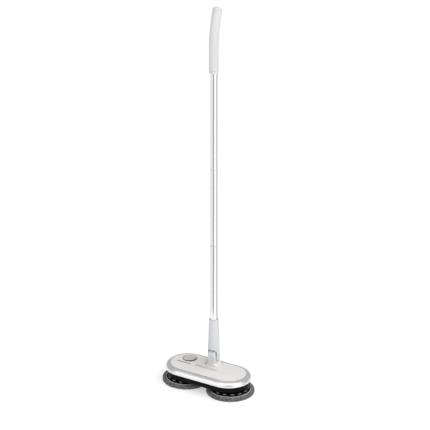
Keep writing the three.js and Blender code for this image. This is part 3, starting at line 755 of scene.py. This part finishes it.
def drill_back(name, radius, low, high, x, z):
    """A plain cutting cylinder along Y: one along Z, laid down about X and moved to its place."""
    made = drill(name, radius, low, high, (0, 0))
    made.data.transform(Matrix.Translation((x * MM, 0, z * MM)) @ Matrix.Rotation(math.radians(-90), 4, "X"))
    return made


# %% Chassis
floor_inside = CHASSIS_BOTTOM + 2.5
chassis_top = 46.0
tub_wall = shoulder(CHASSIS_RADIUS, 11.0, 30.5, CHASSIS_BOTTOM, 16)
tub_inner = shoulder(CHASSIS_RADIUS - WALL, 10.2, 31.5, floor_inside, 12)[::-1]
tub_profile = np.concatenate(
    [
        [(CHASSIS_RADIUS, chassis_top)],
        tub_wall,
        [(0, CHASSIS_BOTTOM), (0, floor_inside)],
        tub_inner,
        [(CHASSIS_RADIUS - WALL, chassis_top)],
    ]
)
chassis = stadium_ring("chassis_tub", tub_profile)
cutters = [drill(f"cut_spindle_{side}", 8.3, 15, 26, (side * DISC_X, 0)) for side in (-1, 1)]
for number in range(1, 7):
    cutters.append(drill(f"cut_screw_{number}", 4.2, 15, 26, middle(f"housing_screw_{number}"), segments=32))
socket_at = middle("charging_socket")
cutters.append(drill_back("cut_socket", 5.4, 52, 64, socket_at[0], socket_at[2]))
place_piece(tidy_mesh(combine(chassis, cutters, "DIFFERENCE")), "head", "black_plastic", "chassis")

# %% [markdown]
# ## The discs
# Each carrier is a shallow black dish on its spindle. A ring of rounded, glossier grips stands on its
# slope, and each is an ellipsoid, worked out once and turned into its place by one array sum.

# %% Carriers
GRIPS = 14
GRIP_HALVES = (4.4, 7.0, 3.0)
GRIP_REACH, GRIP_HEIGHT = 51.5, 15.4
DISH_SLOPE = math.radians(-28)


def carrier_grips(centre_x, rows=16, columns=10):
    """Ellipsoids of half sizes (a, b, c), one for each grip, tilted along the dish's slope and carried round
    the disc's axis: points (a cos u cos v, b sin u cos v, c sin v)."""
    u = np.linspace(0, TURN, rows, endpoint=False)[:, None]
    v = np.linspace(-math.pi / 2, math.pi / 2, columns)[None, :]
    a, b, c = GRIP_HALVES
    local = np.stack([a * np.cos(u) * np.cos(v), b * np.sin(u) * np.cos(v), c * np.sin(v) + 0 * u], axis=-1)
    local = local.reshape(-1, 3)
    x = GRIP_REACH + local[:, 0] * math.cos(DISH_SLOPE) - local[:, 2] * math.sin(DISH_SLOPE)
    z = GRIP_HEIGHT + local[:, 0] * math.sin(DISH_SLOPE) + local[:, 2] * math.cos(DISH_SLOPE)
    y = local[:, 1]
    angle = (np.arange(GRIPS) * TURN / GRIPS)[:, None]
    cos, sin = np.cos(angle), np.sin(angle)
    flat = np.stack([centre_x + x * cos - y * sin, x * sin + y * cos], axis=-1)
    points = np.concatenate([flat, np.broadcast_to(z, flat.shape[:-1])[..., None]], axis=-1)
    faces = grid_faces(rows, columns, True, False)[None] + (np.arange(GRIPS) * len(local))[:, None, None]
    return points.reshape(-1, 3), faces.reshape(-1, 4)


CARRIER_PROFILE = [
    (0, 9.9, 0),
    (4.0, 9.9, 0.2),
    (4.0, 7.6, 0.4),
    (58.6, 7.6, 0.6),
    (58.6, 12.6, 1.4),
    (47.0, 18.6, 2.0),
    (30.0, 18.6, 0),
    (12.0, 18.6, 0.8),
    (12.0, 19.8, 0.5),
    (0, 19.8, 0),
]


for side, x in (("right", DISC_X), ("left", -DISC_X)):
    dish = turned("carrier_dish_" + side, CARRIER_PROFILE, (x, 0), 144)
    place_piece(dish, f"disc_{side}", "black_plastic", f"pad_carrier_{side}")
    grips = tidy_mesh(mesh_object("carrier_grips_" + side, *carrier_grips(x)), 60)
    place_piece(grips, f"disc_{side}", "black_plastic", material=GLOSS_BLACK)
print("carriers with", GRIPS, "grips")

# %% [markdown]
# A microfibre pad is a backing disc with a thick cut pile, and its rim bulges where the pile turns over the
# edge. The body is a turned form whose skin is pushed in and out by smooth noise. The pile that shows at
# the rim is real geometry: thousands of short bent tufts, all worked out as one array.

# %% Pads
PAD_INNER = 12.0
LIP_RADIUS = 60.2
RIM_CORE = PAD_RADIUS - 7.0
BACKING_TOP = 6.0


def pad_outline(share):
    """Where the pile stands on the rim, from the underside (share 0) over the bulge to the top (share 1),
    as (radius, height, outward direction). It is half of a superellipse (cos^0.8, sin^0.8) about the rim's
    core."""
    angle = (share - 0.5) * math.pi * 1.02
    centre_r, centre_z = RIM_CORE, PAD_HEIGHT * 0.47
    half_r, half_z = 4.8, PAD_HEIGHT * 0.47 - 0.6
    cos, sin = np.cos(angle), np.sin(angle)
    radius = centre_r + half_r * np.sign(cos) * np.abs(cos) ** 0.8
    height = centre_z + half_z * np.sign(sin) * np.abs(sin) ** 0.8
    normal_r, normal_z = cos / half_r, sin / half_z
    length = np.hypot(normal_r, normal_z)
    return radius, height, normal_r / length, normal_z / length


def waves(angle, along, count, seed):
    """Smooth noise from 0 to 1: a sum of sine waves round the pad and across it, with seeded phases."""
    draw = np.random.default_rng(seed)
    total = np.zeros(np.broadcast(angle, along).shape)
    for _ in range(count):
        round_it, across = draw.integers(20, 160), draw.uniform(0.3, 1.6)
        total = total + np.sin(round_it * angle + across * along + draw.uniform(0, TURN))
    return 0.5 + 0.5 * total / np.abs(total).max()


def pad_body(centre_x, seed, around=320):
    """The pad's skin: floor face, rim, top and inner step, pushed outwards by the waves where it is pile."""
    floor_r = np.linspace(PAD_INNER, RIM_CORE, 34)[:-1]
    rim_r, rim_z, _, _ = pad_outline(np.linspace(0.02, 0.98, 22))
    top_r = np.linspace(RIM_CORE, LIP_RADIUS, 5)[1:]
    inside = np.array(
        [
            (59.3, PAD_HEIGHT - 1.6),
            (59.3, BACKING_TOP + 0.2),
            (59.0, BACKING_TOP),
            (36.0, BACKING_TOP),
            (PAD_INNER, BACKING_TOP),
        ]
    )
    radius = np.concatenate([floor_r, rim_r, top_r, inside[:, 0]])
    height = np.concatenate([floor_r * 0 + 0.6, rim_z, top_r * 0 + PAD_HEIGHT - 0.7, inside[:, 1]])
    angle = np.linspace(0, TURN, around, endpoint=False)[:, None]
    lumps = waves(angle, radius[None, :], 14, seed)
    is_floor = np.arange(len(radius)) < len(floor_r)
    r = radius + np.where(is_floor, 0, 0.5 * (lumps - 0.5))
    z = height - np.where(is_floor, 0.55 * lumps, 0)
    points = np.stack([centre_x + r * np.cos(angle), r * np.sin(angle), z + 0 * angle], axis=-1)
    return points.reshape(-1, 3), grid_faces(around, len(radius))


def pad_tufts(centre_x, count, seed, sides=4, rings=4):
    """Bent tapering tufts on the rim. Ring s of a tuft is centred on foot + length (s normal + s^2 lean),
    and its radius is the tuft's own times (1 - 0.75 s^2)."""
    draw = np.random.default_rng(seed)
    angle = draw.uniform(0, TURN, count)
    radius, height, out_r, out_z = pad_outline(draw.uniform(0.05, 1.0, count))
    foot = np.stack([radius * np.cos(angle), radius * np.sin(angle), height], axis=1)
    normal = np.stack([out_r * np.cos(angle), out_r * np.sin(angle), out_z], axis=1)
    tangent = np.stack([-np.sin(angle), np.cos(angle), 0 * angle], axis=1)
    third = np.cross(normal, tangent)
    foot = foot - 0.6 * normal
    lean = draw.normal(0, 0.42, count)[:, None] * tangent + draw.normal(0, 0.3, count)[:, None] * third
    lean[:, 2] -= 0.18
    length = draw.uniform(2.0, 3.4, count)[:, None]
    s = np.linspace(0, 1, rings)
    path = s[:, None] * normal[:, None] + s[:, None] ** 2 * lean[:, None]
    centre = foot[:, None] + length[:, None] * path
    girth = draw.uniform(0.6, 1.05, count)[:, None] * (1 - 0.75 * s**2)
    turn = np.linspace(0, TURN, sides, endpoint=False)
    circle = np.cos(turn)[:, None] * tangent[:, None] + np.sin(turn)[:, None] * third[:, None]
    points = centre[:, :, None] + girth[:, :, None, None] * circle[:, None]
    points = points.reshape(-1, 3)
    points[:, 0] += centre_x
    points[:, 2] = np.maximum(points[:, 2], 0.03)
    per_tuft = rings * sides
    sleeve = grid_faces(rings, sides, False, True)
    tip, root = (rings - 1) * sides + np.arange(sides), np.arange(sides)[::-1]
    one_tuft = np.concatenate([sleeve, tip[None], root[None]])
    faces = one_tuft[None] + (np.arange(count) * per_tuft)[:, None, None]
    tone = np.repeat(draw.uniform(0, 1, count) ** 2.2, per_tuft)
    along = np.tile(np.repeat(s, sides), count)
    return points, faces.reshape(-1, 4), tone, along


def mop_pad(name, centre_x, seed, tufts=4600):
    """The pad's body and its tufts in one mesh, with the pile's tone and its place from root to tip
    stored."""
    body_points, body_faces = pad_body(centre_x, seed)
    tuft_points, tuft_faces, tone, along = pad_tufts(centre_x, tufts, seed + 1)
    points = np.concatenate([body_points, tuft_points])
    made = mesh_object(name, points, np.concatenate([body_faces, tuft_faces + len(body_points)]))
    mesh = made.data
    start = len(body_points)
    # The pad's body takes a place part way from root to tip, so it carries part of the painted root shade.
    for key, values, rest in (("tuft_tone", tone, 0.12), ("tuft_along", along, 0.35)):
        attribute = mesh.attributes.new(key, "FLOAT", "POINT")
        attribute.data.foreach_set("value", np.concatenate([np.full(start, rest), values]).astype(np.float32))
    mesh.polygons.foreach_set("use_smooth", np.ones(len(mesh.polygons), bool))
    return made


def outward(piece):
    """Turns a closed piece's faces outwards, keeping its attributes."""
    work = bmesh.new()
    work.from_mesh(piece.data)
    bmesh.ops.recalc_face_normals(work, faces=work.faces)
    work.to_mesh(piece.data)
    work.free()
    return piece


for side, x in (("right", DISC_X), ("left", -DISC_X)):
    pad = outward(mop_pad("microfibre_pad_" + side, x, 11 if side == "right" else 23))
    place_piece(pad, f"disc_{side}", "microfibre", f"mop_pad_{side}")
    edge = [
        (LIP_RADIUS - 0.2, PAD_HEIGHT - 1.4, 0.5),
        (LIP_RADIUS - 0.2, PAD_HEIGHT + 0.5, 0.7),
        (LIP_RADIUS + 1.6, PAD_HEIGHT + 0.5, 0.7),
        (LIP_RADIUS + 1.6, PAD_HEIGHT - 1.4, 0.5),
    ]
    tape = turned("pad_binding_" + side, edge, (x, 0), 144)
    place_piece(tape, f"disc_{side}", "microfibre", material=BINDING)
    print(pad.name, len(pad.data.polygons), "faces")

# %% [markdown]
# ## The handle joint
# The knuckle is one smooth form. At each height its outline is a squarish superellipse, whose half width is
# the barrel's circle low down, then a soft fillet, then a plain block that rounds off over the pivot pin.

# %% Knuckle
KNUCKLE_HALF, KNUCKLE_TOP_HALF = 13.0, 10.4
TAPER_START = PIN_Z - 4
BARREL_RADIUS = knuckle_high[0]
HALF_DEPTH = (knuckle_high[1] - knuckle_low[1]) / 2


def knuckle_surface(heights_low=44, heights_top=20, around=96):
    """Rows go up: z, half width w(z) and half depth d(z). Columns go round the superellipse
    (w sgn(cos) |cos|^(2/7), d sgn(sin) |sin|^(2/7))."""
    low = np.linspace(knuckle_low[2], PIN_Z, heights_low)
    barrel = np.sqrt(np.maximum(BARREL_RADIUS**2 - (low - SWIVEL_Z) ** 2, 0))
    soft = 0.9
    width_low = np.minimum(soft * np.log(np.exp(barrel / soft) + np.exp(KNUCKLE_HALF / soft)), BARREL_RADIUS)
    arc = np.linspace(0, math.pi / 2, heights_top + 1)[1:]
    top = PIN_Z + HALF_DEPTH * np.sin(arc)
    taper = [TAPER_START, knuckle_high[2]], [0, KNUCKLE_HALF - KNUCKLE_TOP_HALF]
    width_low = width_low - np.interp(low, *taper)
    corner, corner_z = 5.0, knuckle_high[2] - 5.0
    rise = np.clip(top - corner_z, 0, corner)
    width_top = KNUCKLE_HALF - np.interp(top, *taper) - corner + np.sqrt(corner**2 - rise**2)
    z = np.concatenate([low[:1], low, top])[:, None]
    w = np.concatenate([[0], width_low, width_top])[:, None]
    d = np.concatenate([[0], np.full(len(low), HALF_DEPTH), HALF_DEPTH * np.cos(arc)])[:, None]
    angle = np.linspace(0, TURN, around, endpoint=False) + TURN / around / 2
    cos, sin = np.cos(angle), np.sin(angle)
    power = 2 / 7
    x = w * np.sign(cos) * np.abs(cos) ** power
    y = TUBE_Y + d * np.sign(sin) * np.abs(sin) ** power
    return np.stack([x, y, z + 0 * x], axis=-1).reshape(-1, 3), grid_faces(len(z), around, False, True)


knuckle = tidy_mesh(mesh_object("knuckle_block", *knuckle_surface()), 40)
pin_radius = np.ptp(box_mm("pivot_pin"), axis=0)[2] / 2 + 0.15
shaft_radius = np.ptp(box_mm("swivel_shaft"), axis=0)[2] / 2 + 0.15
bores = [
    drill("bore_pin", pin_radius, -30, 30, (TUBE_Y, PIN_Z), "x"),
    drill_back("bore_shaft", shaft_radius, -20, 80, 0, SWIVEL_Z),
]
tidy_mesh(combine(knuckle, bores, "DIFFERENCE"), 40)
place_piece(knuckle, "knuckle", "white_plastic", "knuckle", material=KNUCKLE_PLASTIC)

# %% [markdown]
# The neck is a tapered sleeve with a tall arch cut through its foot, which leaves two rounded legs.
# Booleans leave knife edges, so the cut form is remeshed into small even cells and smoothed, which rounds
# every edge a little.

# %% Neck
neck_high = box_mm("neck")[1]
NECK_FOOT_RADIUS, NECK_TOP_RADIUS = 17.2, 14.4
SLOT_HALF, SLOT_TOP = KNUCKLE_HALF + 1.5, PIN_Z + 20.5
LEG_END = 15.5
CAP_INSIDE, CAP_OUTSIDE, CAP_RADIUS = 15.5, 17.0, 4.9


def prism(name, line, low, high):
    """A line of (x, z) points carried along Y: a side wall, and two flat ends."""
    count = len(line)
    near = np.stack([line[:, 0], np.full(count, low), line[:, 1]], axis=1)
    far = np.stack([line[:, 0], np.full(count, high), line[:, 1]], axis=1)
    mesh = bpy.data.meshes.new(name)
    sides = [[i, (i + 1) % count, (i + 1) % count + count, i + count] for i in range(count)]
    ends = [list(range(count)), list(range(2 * count - 1, count - 1, -1))]
    mesh.from_pydata((np.concatenate([near, far]) * MM).tolist(), [], sides + ends)
    return tidy_mesh(linked(name, mesh))


ARCH_HALF = KNUCKLE_TOP_HALF + 1.4
arch = [(SLOT_HALF, 50), (SLOT_HALF, PIN_Z + 6, 2), (ARCH_HALF, PIN_Z + 17, 3), (ARCH_HALF, SLOT_TOP, 8)]
arch = rounded(arch + [(-x, *rest) for x, *rest in reversed(arch)], 8)
sleeve = turned(
    "neck_sleeve",
    [
        (0, 60),
        (NECK_FOOT_RADIUS + 0.2, 60),
        (NECK_FOOT_RADIUS, 112),
        (16.3, 150, 12),
        (NECK_TOP_RADIUS, neck_high[2], 1.2),
        (TUBE_RADIUS + 0.35, neck_high[2], 0.5),
        (TUBE_RADIUS + 0.35, 150),
        (0, 150),
    ],
    (0, TUBE_Y),
)
below = prism("cut_below", np.array([(-40.0, 40.0), (40.0, 40.0), (40.0, PIN_Z), (-40.0, PIN_Z)]), -20, 80)
round_leg = drill("keep_leg", LEG_END, -50, 50, (TUBE_Y, PIN_Z), "x", 96)
combine(below, [round_leg], "DIFFERENCE")
cuts = [
    below,
    prism("cut_arch", arch, -10, 80),
    drill("cut_round", HALF_DEPTH + 0.7, -SLOT_HALF, SLOT_HALF, (TUBE_Y, PIN_Z), "x", 96),
    drill("cut_cap_left", CAP_RADIUS + 0.3, -40, 0.1 - CAP_INSIDE, (TUBE_Y, PIN_Z), "x"),
    drill("cut_cap_right", CAP_RADIUS + 0.3, CAP_INSIDE - 0.1, 40, (TUBE_Y, PIN_Z), "x"),
]
neck = combine(sleeve, cuts, "DIFFERENCE")
cells = neck.modifiers.new("cells", "REMESH")
cells.mode = "VOXEL"
cells.voxel_size = 0.75 * MM
soften = neck.modifiers.new("soften", "SMOOTH")
soften.factor = 0.5
soften.iterations = 5
apply_modifiers(neck)
place_piece(tidy_mesh(neck, 60), "handle", "white_plastic", "neck")
for side, facing in (("left", -1), ("right", 1)):
    inside, outside = facing * CAP_INSIDE, facing * CAP_OUTSIDE
    cap_profile = [
        (0, inside, 0),
        (CAP_RADIUS, inside, 0.2),
        (CAP_RADIUS, outside, 0.5),
        (3.2, outside, 0),
        (0, outside, 0),
    ]
    cap = turned("pin_cap_" + side, cap_profile, (TUBE_Y, PIN_Z), 64, "x")
    place_piece(cap, "handle", "white_plastic", f"pivot_cap_{side}")
print("neck", len(neck.data.polygons), "faces")

# %% [markdown]
# ## Tube and grip
# Each tube section is a thin-walled turned form with broken edges, and the plugs between them show as fine
# rings.

# %% Tube sections
for section in ("lower", "middle", "upper"):
    low, high = box_mm("tube_" + section)
    bore = TUBE_RADIUS - 1.0
    wall = [
        (bore, low[2], 0.2),
        (TUBE_RADIUS, low[2], 0.4),
        (TUBE_RADIUS, high[2], 0.4),
        (bore, high[2], 0.2),
    ]
    piece = turned(f"tube_{section}_section", wall, (0, TUBE_Y), 128)
    place_piece(piece, "handle", "tube_aluminium", "tube_" + section)
for joint in ("lower", "upper"):
    low, high = box_mm("tube_joint_" + joint)
    plug, centre_z, half = TUBE_RADIUS - 1.35, (low[2] + high[2]) / 2, 0.75
    collar_profile = [
        (6, low[2], 0.3),
        (plug, low[2], 0.3),
        (plug, centre_z - half, 0),
        (TUBE_RADIUS + 0.1, centre_z - half, 0.25),
        (TUBE_RADIUS + 0.1, centre_z + half, 0.25),
        (plug, centre_z + half, 0),
        (plug, high[2], 0.3),
        (6, high[2], 0.3),
    ]
    piece = turned(f"tube_plug_{joint}", collar_profile, (0, TUBE_Y), 96)
    place_piece(piece, "handle", "white_plastic", "tube_joint_" + joint)

# %% [markdown]
# The grip follows a line that goes straight up and then bends towards the user on a circle. A ring of
# points is carried along it, square to it, with a radius that shrinks towards the end.

# %% Grip
collar_low, collar_high = box_mm("handle_collar")
BEND_RADIUS, BEND_ANGLE = 343.0, 0.356
GRIP_RADIUS = 14.5
RIM = GRIP_RADIUS - 2
BEND_START = cad_box[1].z / MM - (BEND_RADIUS + RIM) * math.sin(BEND_ANGLE - 0.7 / BEND_RADIUS)
GRIP_END = BEND_START + BEND_RADIUS * BEND_ANGLE
CAP_SEAM = GRIP_END - 6.0


def bent(name, profile, around=96):
    """A closed profile of (radius, length along the line) points carried round the grip's line. Past the
    bend's start, a length s leans by s / R: height R sin(s / R), setback R (1 - cos(s / R))."""
    radius, along = np.asarray(profile, float).T
    lean = np.maximum(0, along - BEND_START) / BEND_RADIUS
    height = np.minimum(along, BEND_START) + BEND_RADIUS * np.sin(lean)
    back = BEND_RADIUS * (1 - np.cos(lean))
    angle = np.linspace(0, TURN, around, endpoint=False)[:, None]
    across, depth = radius * np.cos(angle), radius * np.sin(angle)
    points = np.stack([across, TUBE_Y + back + depth * np.cos(lean), height - depth * np.sin(lean)], axis=-1)
    return tidy_mesh(mesh_object(name, points.reshape(-1, 3), grid_faces(around, len(radius))))


foot = collar_high[2] + 0.3
length = np.linspace(foot + 0.8, CAP_SEAM - 0.9, 60)
outside = np.stack([np.full(60, GRIP_RADIUS), length], axis=1)
hollow = np.linspace(CAP_SEAM - 0.3, BEND_START, 24)
grip_profile = np.concatenate(
    [
        [(GRIP_RADIUS - 0.7, foot), (GRIP_RADIUS - 0.15, foot + 0.25)],
        outside,
        [(GRIP_RADIUS - 0.12, CAP_SEAM - 0.45), (GRIP_RADIUS - 0.5, CAP_SEAM - 0.3)],
        np.stack([np.full(24, 9.6), hollow], axis=1),
        [(TUBE_RADIUS + 0.3, BEND_START - 2), (TUBE_RADIUS + 0.3, foot)],
    ]
)
grip = bent("grip_sleeve", grip_profile)
place_piece(grip, "handle", "white_plastic", "handle_grip", material=GRIP_PLASTIC)
cap_round = np.linspace(0, math.pi / 2, 16)[:-1]
DOME_HEIGHT = 8.0
dome = np.stack(
    [GRIP_RADIUS * np.cos(cap_round) ** 0.7, CAP_SEAM + 0.6 + DOME_HEIGHT * np.sin(cap_round)],
    axis=1,
)
end_profile = np.concatenate(
    [
        [(0, CAP_SEAM - 12), (9.2, CAP_SEAM - 12), (9.2, CAP_SEAM), (GRIP_RADIUS - 0.5, CAP_SEAM)],
        [(GRIP_RADIUS - 0.1, CAP_SEAM + 0.3)],
        dome,
        [(0, CAP_SEAM + 0.6 + DOME_HEIGHT)],
    ]
)
place_piece(bent("grip_end", end_profile), "handle", "white_plastic", "handle_end_cap", material=GRIP_PLASTIC)
collar_wall = [
    (TUBE_RADIUS + 0.3, collar_low[2], 0.4),
    (GRIP_RADIUS, collar_low[2], 1.0),
    (GRIP_RADIUS, collar_high[2], 0.4),
    (TUBE_RADIUS + 0.3, collar_high[2], 0.2),
]
collar = turned("grip_collar", collar_wall, (0, TUBE_Y), 96)
place_piece(collar, "handle", "white_plastic", "handle_collar", material=GRIP_PLASTIC)

# %% [markdown]
# ## Studio
# The mop stands on a plain pale floor in soft light. A polished tube only looks like metal when it has
# something dark and something bright to mirror, so cards lie out of the frame that only reflections can
# see.

# %% Camera
AZIMUTH, ELEVATION = math.radians(32.18), math.radians(26.94)
DISTANCE = 19.5
PER_METRE = 0.7877  # share of the frame's width that a metre takes
back = Vector(
    (
        math.sin(AZIMUTH) * math.cos(ELEVATION),
        -math.cos(AZIMUTH) * math.cos(ELEVATION),
        math.sin(ELEVATION),
    )
)
right = Vector((math.cos(AZIMUTH), math.sin(AZIMUTH), 0))
# The middle of the frame, from the foot of the mop, to the right and up across the view, in metres
aim = 0.0195 * right + 0.5024 * back.cross(right)
lens = bpy.data.cameras.new("camera")
lens.sensor_width = 36.0
lens.lens = PER_METRE * DISTANCE * lens.sensor_width
camera = linked("camera", lens)
camera.location = DISTANCE * back
camera.rotation_euler = (camera.location - aim).to_track_quat("Z", "Y").to_euler()
bpy.context.scene.camera = camera


# %% Floor, cards and lights
def emitter(name, strength):
    """A material that only gives light, or none."""
    material = bpy.data.materials.new(name)
    material.use_nodes = True
    tree = material.node_tree
    tree.nodes.clear()
    glow = node(tree, "ShaderNodeEmission", {"Strength": strength})
    out = tree.nodes.new("ShaderNodeOutputMaterial")
    tree.links.new(glow.outputs[0], out.inputs["Surface"])
    return material


def reflector(name, first, last, steps, reach, height, strength):
    """A glowing card between two angles from the camera's side, in degrees. A pair of reaches makes it lie
    flat, and a pair of heights makes it stand. Only reflections see it."""
    angle = np.radians(np.linspace(first, last, steps))[:, None] + math.atan2(back.y, back.x)
    points = np.stack(np.broadcast_arrays(reach * np.cos(angle), reach * np.sin(angle), height), axis=-1)
    card = mesh_object(name, points.reshape(-1, 3), grid_faces(steps, 2, False, False))
    card.data.materials.append(emitter(name, strength))
    for flag in ("visible_camera", "visible_diffuse", "visible_shadow", "visible_transmission"):
        setattr(card, flag, False)


floor_corners = np.array([(-9, -9, 0), (9, -9, 0), (9, 9, 0), (-9, 9, 0)]) / MM
ground = mesh_object("floor", floor_corners, np.arange(4)[None])
floor_finish, floor_tree, floor_shader = new_material("pale_floor")
floor_place = node(floor_tree, "ShaderNodeTexCoord").outputs["Object"]
floor_noise = noise(floor_tree, floor_place, 30.0, 3.0)
floor_tone = mix_colour(floor_tree, floor_noise, rgba(0.50, 0.50, 0.497), rgba(0.51, 0.51, 0.507))
floor_values = {
    "Base Color": floor_tone,
    "Roughness": 0.8,
    "Emission Color": rgba(1.0, 1.0, 0.99),
    "Emission Strength": 0.48,
    "Specular IOR Level": 0.15,
}
set_inputs(floor_tree, floor_shader, floor_values)
ground.data.materials.append(floor_finish)
# Degrees to the right of the camera's side: what the tube mirrors from its left edge to its right
CARDS = {
    "card_light": (-170, -30, 0.92),
    "card_dark": (-30, 21, 0.46),
    "card_bright": (21, 56, 1.7),
    "card_grey": (56, 170, 0.70),
}
for name, (first, last, strength) in CARDS.items():
    reflector(name, first, last, 24, np.array([390, 7000]), 3, strength)
reflector("card_low", -13, 13, 12, 6000, np.array([200, 1500]), 0.5)


def soft_light(name, place, size, power, target=(0, 0, 0.4)):
    """A square area light that faces a target."""
    data = bpy.data.lights.new(name, "AREA")
    data.size = size
    data.energy = power
    light = linked(name, data)
    light.location = place
    light.rotation_euler = (Vector(place) - Vector(target)).to_track_quat("Z", "Y").to_euler()
    return light


key_light = soft_light("key", (2.4, -2.4, 3.2), 2.4, 26)
# A wide, even light from above and to the right keeps the whole floor white. Nothing mirrors it.
ceiling = bpy.data.lights.new("ceiling", "SUN")
ceiling.energy = 1.5
ceiling.angle = math.radians(70)
ceiling_light = linked("ceiling", ceiling)
towards_ceiling = 0.9 * right + 0.3 * back + Vector((0, 0, 1.2))
ceiling_light.rotation_euler = towards_ceiling.to_track_quat("Z", "Y").to_euler()
for lamp in (key_light, ceiling_light):
    lamp.visible_glossy = False
# The sky is dim behind the mop, brightest high up on the camera's side, and dimmer again towards the horizon
# there, so silver edges show a light and a grey band.
world = bpy.data.worlds.new("studio")
bpy.context.scene.world = world
world.use_nodes = True
sky_tree = world.node_tree
way = node(sky_tree, "ShaderNodeTexCoord").outputs["Generated"]
towards = (back.x, back.y, 0.15)
share = node(sky_tree, "ShaderNodeVectorMath", {0: way, 1: towards}, operation="DOT_PRODUCT").outputs["Value"]
rising = map_range(sky_tree, share, 0.1, 0.5, 0.45, 1.45)
falling = map_range(sky_tree, share, 0.62, 0.92, 0.0, 0.6)
level = math_node(sky_tree, "SUBTRACT", rising, falling)
background = sky_tree.nodes["Background"]
background.inputs["Color"].default_value = rgba(1.0, 1.0, 0.995)
sky_tree.links.new(level, background.inputs["Strength"])
bpy.context.scene.view_settings.view_transform = "Standard"
